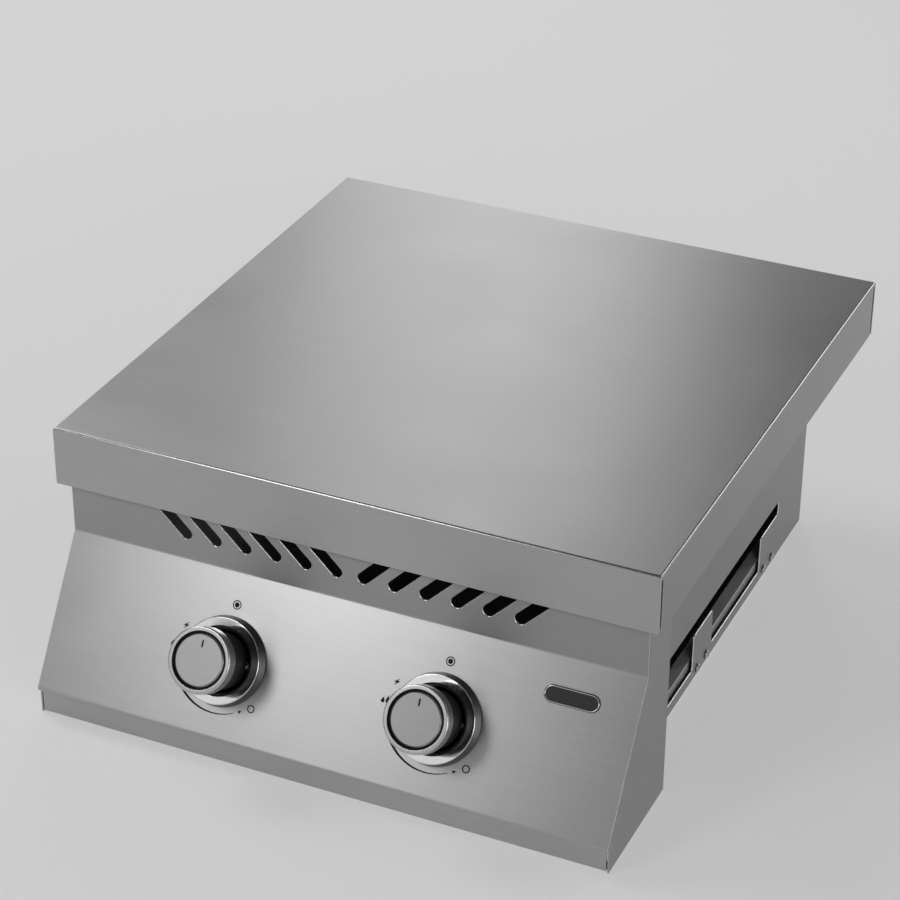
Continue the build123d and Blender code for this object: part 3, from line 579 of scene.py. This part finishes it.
def roll_slots(mesh):
    """Give the vent slots a rolled rim in front; the panel's other edges stay fine."""
    front = min(vertex.co.y for vertex in mesh.vertices if vertex.co.z > strip_foot)

    def on_rim(place):
        return place.z > strip_foot and place.y < front + merge_gap and abs(place.x) < strip_half

    weigh_edges(mesh, on_rim)


def round_all(mesh):
    """Round every sharp edge alike."""
    weigh_edges(mesh, lambda place: True)


def set_back(mesh):
    """Set a runner's web back from the side wall, so that a dark gap shows in the window."""
    outside = max(abs(vertex.co.x) for vertex in mesh.vertices)
    for vertex in mesh.vertices:
        if abs(vertex.co.x) > outside - web_depth:
            vertex.co.x -= math.copysign(runner_gap, vertex.co.x)
    round_all(mesh)


def refinish(name, finish, keep, above=-1.0):
    """Give a finish to those faces of a piece that look along none of the axes to keep."""
    mesh = bpy.data.objects[name].data
    mesh.materials.append(finish)
    for face in mesh.polygons:
        plain = any(abs(face.normal["XYZ".index(axis)]) > square_on for axis in keep)
        if not plain and face.center.z > above:
            face.material_index = len(mesh.materials) - 1


def face_along(name, finish, axis, above=-1.0):
    """Give a finish to those faces of a piece that look along an axis."""
    mesh = bpy.data.objects[name].data
    mesh.materials.append(finish)
    for face in mesh.polygons:
        if abs(face.normal["XYZ".index(axis)]) > facing and face.center.z > above:
            face.material_index = len(mesh.materials) - 1


sheet_nodes = [
    "cover", "top_deck", "rear_wall", "front_bulkhead", "floor_pan", "drip_tray", "burner_bracket",
]
for node in sheet_nodes:
    soften(node, sheet_edge)
for side in sides:
    soften(f"{side}_end_cap", sheet_edge, change=open_seam)
    soften(f"{side}_side_wall", cut_round, change=round_all)
    soften(f"{side}_tray_runner", cut_round, change=set_back)
soften("front_panel", slot_rim, 3, roll_slots)
soften("grate", cast_edge, 3)
# Faces of the cover, end caps and deck that look sideways take the darker side steel: painted shade.
for name in ("cover", "left_end_cap", "right_end_cap", "top_deck"):
    face_along(f"{name}_finished", side_shaded_steel, "X")
refinish("cover_finished", fold_steel, "XYZ")
# The vent strip's slot walls and rims take the pale cut-edge metal, a partly painted highlight.
refinish("front_panel_finished", cut_edge_and_glint, "Y", strip_foot)
face_along("front_panel_finished", slope_steel, "Y")
face_along("front_panel_finished", strip_steel, "Y", strip_foot)
# Side walls and runners take the pale cut-edge metal on their edges, a partly painted highlight, and the
# runners' tops take the paler zinc coat, painted light.
for side in sides:
    refinish(f"{side}_side_wall_finished", cut_edge_and_glint, "X")
    refinish(f"{side}_tray_runner_finished", cut_edge_and_glint, "XYZ")
    face_along(f"{side}_tray_runner_finished", lit_top_zinc_coat, "Z")


def geometry_tree(name, *sizes):
    """A geometry tree with named inputs: its shape, its sizes and its finish."""
    tree = bpy.data.node_groups.new(name, "GeometryNodeTree")
    sockets = tree.interface
    sockets.new_socket("Shape", in_out="INPUT", socket_type="NodeSocketGeometry")
    for size in sizes:
        kind = "NodeSocketInt" if size.endswith("Steps") else "NodeSocketFloat"
        sockets.new_socket(size, in_out="INPUT", socket_type=kind)
    sockets.new_socket("Finish", in_out="INPUT", socket_type="NodeSocketMaterial")
    sockets.new_socket("Shape", in_out="OUTPUT", socket_type="NodeSocketGeometry")
    return tree


def add(tree, kind, joined=None, **settings):
    """A node with its settings, and outputs joined to its named inputs."""
    node = tree.nodes.new(kind)
    for setting, value in settings.items():
        setattr(node, setting, value)
    for socket, source in (joined or {}).items():
        if isinstance(source, bpy.types.NodeSocket):
            tree.links.new(source, node.inputs[socket])
        else:
            node.inputs[socket].default_value = source
    return node


def close_tree(tree, inputs, shape):
    """End a tree in real faces with its finish."""
    real = add(tree, "GeometryNodeRealizeInstances", {"Geometry": shape})
    joined = {"Geometry": real.outputs[0], "Material": inputs["Finish"]}
    coated = add(tree, "GeometryNodeSetMaterial", joined)
    add(tree, "NodeGroupOutput", {"Shape": coated.outputs[0]})


def grown(tree, base, finish, **sizes):
    """The mesh that a tree makes from a base mesh."""
    maker = linked("maker", base)
    modifier = maker.modifiers.new("tree", "NODES")
    modifier.node_group = tree
    values = {size.replace("_", " ").title(): value for size, value in sizes.items()}
    values["Finish"] = finish
    for socket in tree.interface.items_tree:
        if socket.in_out == "INPUT" and socket.name in values:
            modifier[socket.identifier] = values[socket.name]
    return plain_mesh(maker)


def line_mesh(points, closed):
    """A line of edges through points."""
    mesh = bpy.data.meshes.new("line")
    count = len(points)
    edges = [(step, (step + 1) % count) for step in range(count if closed else count - 1)]
    mesh.from_pydata(points, edges, [])
    return mesh


def turning_tree():
    """Turns a profile round the Z axis."""
    tree = geometry_tree("turned_piece", "Turn Steps", "Turn Radius")
    inputs = add(tree, "NodeGroupInput").outputs
    profile = add(tree, "GeometryNodeMeshToCurve", {"Mesh": inputs["Shape"]})
    circle = add(
        tree,
        "GeometryNodeCurvePrimitiveCircle",
        {"Resolution": inputs["Turn Steps"], "Radius": inputs["Turn Radius"]},
    )
    upright = add(tree, "GeometryNodeSetCurveNormal", {"Curve": circle.outputs["Curve"]}, mode="Z_UP")
    skin = add(
        tree,
        "GeometryNodeCurveToMesh",
        {"Curve": upright.outputs["Curve"], "Profile Curve": profile.outputs["Curve"]},
    )
    joined = {"Geometry": skin.outputs["Mesh"], "Distance": merge_gap}
    merged = add(tree, "GeometryNodeMergeByDistance", joined)
    close_tree(tree, inputs, merged.outputs["Geometry"])
    return tree


turned_piece = turning_tree()


def rounded(corners, closed):
    """Points along an outline of (radius, height, round) corners."""
    count = len(corners)
    points = []
    for step, (x, y, turn) in enumerate(corners):
        here = Vector((x, y))
        if not turn or (not closed and step in (0, count - 1)):
            points.append(here)
            continue
        back = (Vector(corners[step - 1][:2]) - here).normalized()
        ahead = (Vector(corners[(step + 1) % count][:2]) - here).normalized()
        half = back.angle(ahead) / 2
        centre = here + (back + ahead).normalized() * (turn / math.sin(half))
        start = here + back * (turn / math.tan(half)) - centre
        end = here + ahead * (turn / math.tan(half)) - centre
        sweep = start.angle_signed(end)
        for part in range(corner_steps + 1):
            points.append(centre + Matrix.Rotation(-sweep * part / corner_steps, 2) @ start)
    return points


def knob_place(side):
    """A knob's place on the panel: X across, Y up the slope, Z out."""
    joint = joints[f"{side}_knob_turn"]
    out = Vector(joint["axis"]).normalized()
    across = Vector((1, 0, 0))
    turn = Matrix((across, out.cross(across), out)).transposed().to_4x4()
    return Matrix.Translation(joint["pos_m"]) @ turn


def turned(corners, finish, place, closed=True):
    """A turned piece from the corners of its profile."""
    outline = [(point.x - turn_radius, -point.y, 0) for point in rounded(corners, closed)]
    mesh = grown(
        turned_piece, line_mesh(outline, closed), finish, turn_steps=turn_steps, turn_radius=turn_radius
    )
    skin = bmesh.new()
    skin.from_mesh(mesh)
    bmesh.ops.recalc_face_normals(skin, faces=skin.faces)
    skin.to_mesh(mesh)
    skin.free()
    mesh = shaded(mesh)
    mesh.transform(place)
    return mesh


bezel_profile = [
    (bezel_hole, 0, 0),
    (bezel_radius, 0, 0),
    (bezel_radius, bezel_wall_foot, foot_round),
    (bezel_crest, bezel_height, crest_round),
    (bezel_lip, bezel_lip_height, lip_round),
    (bezel_mouth, bezel_mouth_height, lip_round),
    (bezel_mouth, bezel_floor, 0),
    (bezel_hole, bezel_floor, 0),
]
ring_profile = [
    (ring_inside, ring_back, ring_seat_round),
    (knob_radius, ring_back, ring_back_round),
    (knob_radius, knob_height, ring_front_round),
    (ring_inside, knob_height, ring_inner_round),
]
body_profile = [
    (stem_radius, knob_foot, 0),
    (hub_radius, knob_foot, 0),
    (hub_radius, cavity_top, 0),
    (knob_waist - knob_wall, cavity_top, 0),
    (knob_waist - knob_wall, knob_foot, foot_round),
    (knob_waist, knob_foot, knob_lip_round),
    (knob_waist, ring_back, 0),
    (ring_inside - knob_fit, ring_back, 0),
    (ring_inside - knob_fit, groove_floor, 0),
    (0, groove_floor, 0),
    (0, stem_top, 0),
    (stem_radius, stem_top, 0),
]
disc_profile = [
    (0, groove_floor, 0),
    (disc_radius, groove_floor, 0),
    (disc_radius, disc_top - disc_bevel, disc_round),
    (disc_radius - disc_bevel, disc_top, disc_round),
    (0, disc_top, 0),
]


def shade_bezel_wall(mesh, place):
    """Give a bezel's outer wall a darker plating, painted shade for the panel's shadow that the wall
    mirrors.
    """
    mesh.materials.append(shaded_wall_chrome)
    flat = place.inverted()
    for face in mesh.polygons:
        if (flat @ face.center).xy.length > bezel_crest:
            face.material_index = 1


for side in sides:
    place = knob_place(side)
    knob = f"{side}_knob"
    bezel = turned(bezel_profile, finishes["bright_chrome"], place)
    put(f"{side}_bezel_turned", bezel, finishes["bright_chrome"], "root", "bright_chrome", f"{side}_bezel")
    shade_bezel_wall(bezel, place)
    ring = turned(ring_profile, satin_chrome, place)
    put(f"{knob}_ring_turned", ring, satin_chrome, knob, "bright_chrome", f"{knob}_ring")
    body = turned(body_profile, finishes["knob_black"], place)
    put(f"{knob}_body_turned", body, finishes["knob_black"], knob, "knob_black", f"{knob}_body")
    disc = turned(disc_profile, finishes["disc_steel"], place, closed=False)
    put(f"{knob}_disc_turned", disc, finishes["disc_steel"], knob, "disc_steel", f"{knob}_disc")


def wound_spring(side):
    """A smooth-shaded copy of a return spring, left unattached in place of the CAD one."""
    node = f"{side}_return_spring"
    mesh = shaded(merged_copy(node))
    mesh.materials.append(finishes[slot_of[node]])
    spring = linked(f"{node}_wound", mesh)
    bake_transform(spring)
    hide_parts(node)


for side in sides:
    wound_spring(side)


def flat_print(outlines, place):
    """Thin printed shapes from closed outlines; one inside another is a hole."""
    drawing = bpy.data.curves.new("print", "CURVE")
    drawing.dimensions = "2D"
    drawing.fill_mode = "BOTH"
    drawing.extrude = print_depth / 2
    for outline in outlines:
        spline = drawing.splines.new("POLY")
        spline.points.add(len(outline) - 1)
        spline.use_cyclic_u = True
        for point, (x, y) in zip(spline.points, outline):
            point.co = (x, y, 0, 1)
    mesh = plain_mesh(linked("maker", drawing))
    mesh.transform(place @ Matrix.Translation((0, 0, print_lift + print_depth / 2)))
    return mesh


def circle_line(x, y, radius, count=40):
    """A circle's outline."""
    return [
        (x + radius * math.cos(math.tau * step / count), y + radius * math.sin(math.tau * step / count))
        for step in range(count)
    ]


def on_dial(radius, clock):
    """A point on the dial, with its angle clockwise from the top."""
    return radius * math.sin(math.radians(clock)), radius * math.cos(math.radians(clock))


def moved(shape, x, y, size):
    """A small shape's outline at its place and size."""
    return [(x + size * point_x, y + size * point_y) for point_x, point_y in shape]


bolt_shape = [(0.38, 0.5), (-0.42, -0.06), (-0.08, -0.08), (-0.34, -0.5), (0.42, 0.1), (0.08, 0.12)]
arrow_shape = [(-0.55, 0.1), (0.6, 0.25), (0.0, -0.62)]


def flame_shape(lean, count=16):
    """A flame's outline: a round foot and a leaning tip."""
    points = []
    for way in (1, -1):
        for step in range(count + 1):
            rise = step / count if way == 1 else 1 - step / count
            width = flame_width * math.sin(math.pi * rise**flame_belly) * (1 - flame_taper * rise)
            points.append((way * width + lean * rise**2, rise - 0.5))
    return points


def tapered_arc(start, end, wide, narrow, radius, count=48):
    """A swinging stroke that narrows along the dial."""
    outer = []
    inner = []
    for step in range(count + 1):
        share = step / count
        clock = start + (end - start) * share
        half = (wide + (narrow - wide) * share) / 2
        outer.append(on_dial(radius + half, clock))
        inner.append(on_dial(radius - half, clock))
    return outer + inner[::-1]


def dial_outlines():
    """Off, low, spark and high marks, and the stroke between low and high."""
    off_x, off_y = on_dial(off_radius, 0)
    low_x, low_y = on_dial(low_radius, low_clock)
    spark_x, spark_y = on_dial(spark_radius, spark_clock)
    high_x, high_y = on_dial(high_radius, high_clock)
    tip_x, tip_y = on_dial(arrow_radius, arrow_clock)
    return [
        circle_line(off_x, off_y, off_outside),
        circle_line(off_x, off_y, off_inside),
        circle_line(off_x, off_y, off_dot),
        circle_line(low_x, low_y, low_outside),
        circle_line(low_x, low_y, low_inside),
        moved(bolt_shape, spark_x, spark_y, spark_size),
        moved(flame_shape(lean=0.12), high_x - small_flame_left, high_y, small_flame),
        moved(flame_shape(lean=-0.1), high_x + large_flame_right, high_y + large_flame_up, large_flame),
        tapered_arc(stroke_start, stroke_end, stroke_wide, stroke_narrow, stroke_radius),
        moved(arrow_shape, tip_x, tip_y, arrow_size),
    ]


def stadium(length, width, count=16):
    """A bar with round ends, along X."""
    radius = width / 2
    reach = length / 2 - radius
    points = []
    for way in (1, -1):
        for step in range(count + 1):
            angle = -math.pi / 2 + math.pi * step / count
            points.append((way * (reach + radius * math.cos(angle)), way * radius * math.sin(angle)))
    return points


for side in sides:
    place = knob_place(side)
    put(f"{side}_dial_marks", flat_print(dial_outlines(), place), print_ink, "root", "badge_black")
    bar = [(y, x + pointer_reach) for x, y in stadium(pointer_length, pointer_width)]
    top = place @ Matrix.Translation((0, 0, disc_top))
    put(f"{side}_knob_pointer", flat_print([bar], top), print_ink, f"{side}_knob", "knob_black")


def wire_tree():
    """Lays a round wire along a line."""
    tree = geometry_tree("wire_along_line", "Wire Radius", "Wire Steps")
    inputs = add(tree, "NodeGroupInput").outputs
    path = add(tree, "GeometryNodeMeshToCurve", {"Mesh": inputs["Shape"]})
    section = add(
        tree,
        "GeometryNodeCurvePrimitiveCircle",
        {"Resolution": inputs["Wire Steps"], "Radius": inputs["Wire Radius"]},
    )
    wire = add(
        tree,
        "GeometryNodeCurveToMesh",
        {"Curve": path.outputs["Curve"], "Profile Curve": section.outputs["Curve"]},
    )
    close_tree(tree, inputs, wire.outputs["Mesh"])
    return tree


wire_along_line = wire_tree()
soften("badge_plate", badge_edge)
badge_low, badge_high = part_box("badge_plate")
badge_top = Matrix.Translation((badge_low + badge_high) / 2) @ knob_place("right").to_3x3().to_4x4()
badge_top = badge_top @ Matrix.Translation((0, 0, badge_thick / 2))
rim_line = [
    (x, y, 0) for x, y in stadium(badge_length - 2 * badge_rim_inset, badge_width - 2 * badge_rim_inset)
]
badge_rim = grown(
    wire_along_line, line_mesh(rim_line, True), finishes["bright_chrome"],
    wire_radius=badge_rim_radius, wire_steps=badge_rim_steps,
)
badge_rim = shaded(badge_rim)
badge_rim.transform(badge_top)
put("badge_rim", badge_rim, finishes["bright_chrome"], "root", "bright_chrome")


def islands(node):
    """The boxes of a node's separate solids."""
    skin = bmesh.new()
    skin.from_mesh(merged_copy(node))
    unseen = set(skin.verts)
    boxes = []
    for first in skin.verts:
        if first not in unseen:
            continue
        unseen.remove(first)
        waiting = [first]
        group = []
        while waiting:
            vert = waiting.pop()
            group.append(vert.co)
            for edge in vert.link_edges:
                other = edge.other_vert(vert)
                if other in unseen:
                    unseen.remove(other)
                    waiting.append(other)
        boxes.append((Vector(map(min, *group)), Vector(map(max, *group))))
    skin.free()
    return boxes


def screw_tree():
    """Sets cross-head screws on points, each turned by chance."""
    tree = geometry_tree(
        "cross_head_screws",
        "Head Radius", "Head Height", "Recess Width", "Recess Depth", "Shank Radius", "Shank Length",
    )
    inputs = add(tree, "NodeGroupInput").outputs

    def times(source, factor):
        return add(tree, "ShaderNodeMath", {0: source, 1: factor}, operation="MULTIPLY").outputs[0]

    def vector(x, y, z):
        return add(tree, "ShaderNodeCombineXYZ", {"X": x, "Y": y, "Z": z}).outputs[0]

    def raised(shape, height):
        joined = {"Geometry": shape, "Translation": vector(0.0, 0.0, height)}
        return add(tree, "GeometryNodeTransform", joined).outputs[0]

    body = add(
        tree,
        "GeometryNodeMeshCylinder",
        {"Vertices": screw_head_steps, "Radius": inputs["Head Radius"], "Depth": inputs["Head Height"]},
    )
    body = raised(body.outputs["Mesh"], times(inputs["Head Height"], 0.5))
    dome_radius = times(inputs["Head Radius"], screw_dome)
    dome = add(
        tree,
        "GeometryNodeMeshUVSphere",
        {"Segments": screw_dome_steps, "Rings": screw_dome_rings, "Radius": dome_radius},
    )
    drop = add(tree, "ShaderNodeMath", {0: inputs["Head Height"], 1: dome_radius}, operation="SUBTRACT")
    dome = raised(dome.outputs["Mesh"], drop.outputs[0])
    head = add(tree, "GeometryNodeMeshBoolean", {"Mesh 2": body}, operation="INTERSECT")
    tree.links.new(dome, head.inputs["Mesh 2"])
    arm = times(inputs["Head Radius"], screw_recess_reach)
    depth = times(inputs["Recess Depth"], 2.0)
    bars = []
    for size in (vector(arm, inputs["Recess Width"], depth), vector(inputs["Recess Width"], arm, depth)):
        cube = add(tree, "GeometryNodeMeshCube", {"Size": size})
        bars.append(raised(cube.outputs["Mesh"], inputs["Head Height"]))
    joined = {"Mesh 1": head.outputs["Mesh"], "Mesh 2": bars[0]}
    cut = add(tree, "GeometryNodeMeshBoolean", joined, operation="DIFFERENCE")
    tree.links.new(bars[1], cut.inputs["Mesh 2"])
    shank = add(
        tree,
        "GeometryNodeMeshCylinder",
        {"Vertices": screw_shank_steps, "Radius": inputs["Shank Radius"], "Depth": inputs["Shank Length"]},
    )
    shank = raised(shank.outputs["Mesh"], times(inputs["Shank Length"], -0.5))
    whole = add(tree, "GeometryNodeJoinGeometry", {"Geometry": shank})
    tree.links.new(cut.outputs["Mesh"], whole.inputs["Geometry"])
    out = add(tree, "GeometryNodeInputNamedAttribute", {"Name": "out"}, data_type="FLOAT_VECTOR")
    aim = add(tree, "FunctionNodeAlignRotationToVector", {"Vector": out.outputs["Attribute"]}, axis="Z")
    quarter_turn = {"Min": 0.0, "Max": math.pi / 2, "Seed": screw_seed}
    chance = add(tree, "FunctionNodeRandomValue", quarter_turn, data_type="FLOAT")
    chance_value = next(socket for socket in chance.outputs if socket.enabled)
    points = add(
        tree,
        "GeometryNodeInstanceOnPoints",
        {
            "Points": inputs["Shape"],
            "Instance": whole.outputs["Geometry"],
            "Rotation": aim.outputs["Rotation"],
        },
    )
    spun = add(
        tree,
        "GeometryNodeRotateInstances",
        {"Instances": points.outputs["Instances"], "Rotation": vector(0.0, 0.0, chance_value)},
    )
    close_tree(tree, inputs, spun.outputs["Instances"])
    return tree


cross_head_screws = screw_tree()
for node in ("runner_screws", "bracket_screws"):
    places = []
    ways = []
    shafts = islands(node)
    for low, high in shafts:
        way = 1 if high.x > 0 else -1
        outer = high.x if way > 0 else low.x
        places.append((outer - way * screw_head_height, (low.y + high.y) / 2, (low.z + high.z) / 2))
        ways.extend((way, 0, 0))
    base = bpy.data.meshes.new(node)
    base.from_pydata(places, [], [])
    base.attributes.new("out", "FLOAT_VECTOR", "POINT").data.foreach_set("vector", ways)
    low, high = shafts[0]
    screws = grown(
        cross_head_screws, base, finishes["screw_steel"],
        head_radius=screw_head_radius, head_height=screw_head_height,
        recess_width=screw_recess, recess_depth=screw_recess_depth,
        shank_radius=screw_shank, shank_length=high.x - low.x - screw_head_height,
    )
    put(f"{node}_finished", shaded(screws), finishes["screw_steel"], "root", "screw_steel", node)


def thread_tree():
    """Winds a ridge that fades in and out."""
    tree = geometry_tree(
        "screw_thread", "Thread Radius", "Thread Turns", "Thread Length", "Ridge Radius", "Turn Steps"
    )
    inputs = add(tree, "NodeGroupInput").outputs
    spiral = add(
        tree,
        "GeometryNodeCurveSpiral",
        {
            "Resolution": inputs["Turn Steps"],
            "Rotations": inputs["Thread Turns"],
            "Start Radius": inputs["Thread Radius"],
            "End Radius": inputs["Thread Radius"],
            "Height": inputs["Thread Length"],
        },
    )
    along_line = add(tree, "GeometryNodeSplineParameter").outputs["Factor"]
    fade = add(tree, "ShaderNodeFloatCurve", {"Value": along_line})
    points = fade.mapping.curves[0].points
    points[0].location = (0, thread_end)
    points[1].location = (1, thread_end)
    points.new(thread_fade, 1)
    points.new(1 - thread_fade, 1)
    fade.mapping.update()
    ridge = add(
        tree,
        "GeometryNodeSetCurveRadius",
        {"Curve": spiral.outputs["Curve"], "Radius": fade.outputs["Value"]},
    )
    section = add(
        tree,
        "GeometryNodeCurvePrimitiveCircle",
        {"Resolution": thread_ridge_steps, "Radius": inputs["Ridge Radius"]},
    )
    wound = add(
        tree,
        "GeometryNodeCurveToMesh",
        {
            "Curve": ridge.outputs["Curve"],
            "Profile Curve": section.outputs["Curve"],
            "Scale": fade.outputs["Value"],
            "Fill Caps": True,
        },
    )
    close_tree(tree, inputs, wound.outputs["Mesh"])
    return tree


inlet_low, inlet_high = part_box("gas_inlet_fitting")
thread = grown(
    thread_tree(), bpy.data.meshes.new("thread"), finishes["brass"],
    thread_radius=stub_radius - thread_sunk, thread_turns=thread_length / thread_pitch,
    thread_length=thread_length, ridge_radius=thread_ridge, turn_steps=thread_steps,
)
thread_foot = (inlet_low + inlet_high) / 2
thread_foot.y = inlet_high.y - stub_length + thread_start
thread.transform(Matrix.Translation(thread_foot) @ Matrix.Rotation(-math.pi / 2, 4, "X"))
put("gas_inlet_thread", shaded(thread), finishes["brass"], "root", "brass")


def pale_room():
    """A pale room that metal can mirror."""
    world = bpy.data.worlds.new("studio")
    world.use_nodes = True
    scene.world = world
    tree = world.node_tree
    sky = tree.nodes["Background"]
    direction = tree.nodes.new("ShaderNodeTexCoord").outputs["Generated"]
    parts = tree.nodes.new("ShaderNodeSeparateXYZ")
    tree.links.new(direction, parts.inputs[0])
    ramp = tree.nodes.new("ShaderNodeValToRGB")
    ramp.color_ramp.elements.new(0.5)
    for element, (position, tone) in zip(ramp.color_ramp.elements, sky_tones):
        element.position = position
        element.color = (tone, tone, tone, 1)
    tree.links.new(parts.outputs["Z"], ramp.inputs["Fac"])
    tree.links.new(ramp.outputs["Color"], sky.inputs["Color"])
    sky.inputs["Strength"].default_value = 1.0


def floor_material():
    """Pale paint that glows a little where the camera or metal sees it."""
    paint = bpy.data.materials.new("pale_floor")
    paint.use_nodes = True
    tree = paint.node_tree
    matte = tree.nodes["Principled BSDF"]
    matte.inputs["Base Color"].default_value = floor_paint
    matte.inputs["Roughness"].default_value = floor_dullness
    glow = tree.nodes.new("ShaderNodeEmission")
    glow.inputs["Color"].default_value = floor_glow
    rays = tree.nodes.new("ShaderNodeLightPath")
    seen = rays.outputs["Is Camera Ray"]
    for ray in ("Is Glossy Ray", "Is Transmission Ray"):
        either = tree.nodes.new("ShaderNodeMath")
        either.operation = "MAXIMUM"
        tree.links.new(seen, either.inputs[0])
        tree.links.new(rays.outputs[ray], either.inputs[1])
        seen = either.outputs[0]
    share = tree.nodes.new("ShaderNodeMath")
    share.operation = "MULTIPLY"
    share.inputs[1].default_value = floor_glow_share
    tree.links.new(seen, share.inputs[0])
    mix = tree.nodes.new("ShaderNodeMixShader")
    tree.links.new(share.outputs[0], mix.inputs["Fac"])
    tree.links.new(matte.outputs[0], mix.inputs[1])
    tree.links.new(glow.outputs[0], mix.inputs[2])
    tree.links.new(mix.outputs[0], tree.nodes["Material Output"].inputs["Surface"])
    return paint


def lay_floor():
    """A pale floor under the part."""
    reach = floor_reach
    mesh = bpy.data.meshes.new("floor")
    corners = [(-reach, -reach, 0), (reach, -reach, 0), (reach, reach, 0), (-reach, reach, 0)]
    mesh.from_pydata(corners, [], [(0, 1, 2, 3)])
    mesh.materials.append(floor_material())
    floor = linked("floor", mesh)
    floor.location.z = cad_low.z - floor_gap
    floor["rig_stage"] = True


def lamp(name, place, aim, width, height, power):
    """A soft box that looks at a point."""
    light = bpy.data.lights.new(name, "AREA")
    light.shape = "RECTANGLE"
    light.size = width
    light.size_y = height
    light.energy = power
    box = linked(name, light)
    box.location = place
    box.rotation_euler = (Vector(aim) - Vector(place)).to_track_quat("-Z", "Y").to_euler()
    box.visible_camera = False


pale_room()
lay_floor()
lamp("key", place=(-0.74, -1.42, 1.32), aim=(0, -0.2, 0.1), width=0.45, height=0.45, power=4.3)
lamp("card", place=(-0.70, -1.68, 0.98), aim=(0, -0.23, 0.07), width=0.9, height=0.55, power=1.0)
lamp("left", place=(-2.1, 0.4, 2.3), aim=(0, 0, 0.1), width=1.2, height=1.2, power=24)
lamp("fill", place=(1.5, -1.4, 0.85), aim=(0, -0.2, 0.12), width=0.8, height=0.8, power=8)
lamp("back", place=(-0.72, 1.65, 1.25), aim=(0, 0.04, 0.2), width=0.55, height=1.2, power=4.6)
lamp("rim", place=(1.1, 1.7, 0.95), aim=(0.2, 0, 0.2), width=0.5, height=0.8, power=4)

camera = linked("camera", bpy.data.cameras.new("camera"))
camera.data.lens = camera_lens
camera.data.sensor_width = camera_sensor
heading = Matrix.Rotation(math.radians(camera_azimuth), 4, "Z")
tilt = Matrix.Rotation(math.radians(90 - camera_elevation), 4, "X")
roll = Matrix.Rotation(math.radians(camera_roll), 4, "Z")
camera.matrix_world = Matrix.Translation(camera_place) @ heading @ tilt @ roll
scene.camera = camera
scene.view_settings.view_transform = "Standard"

low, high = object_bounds()
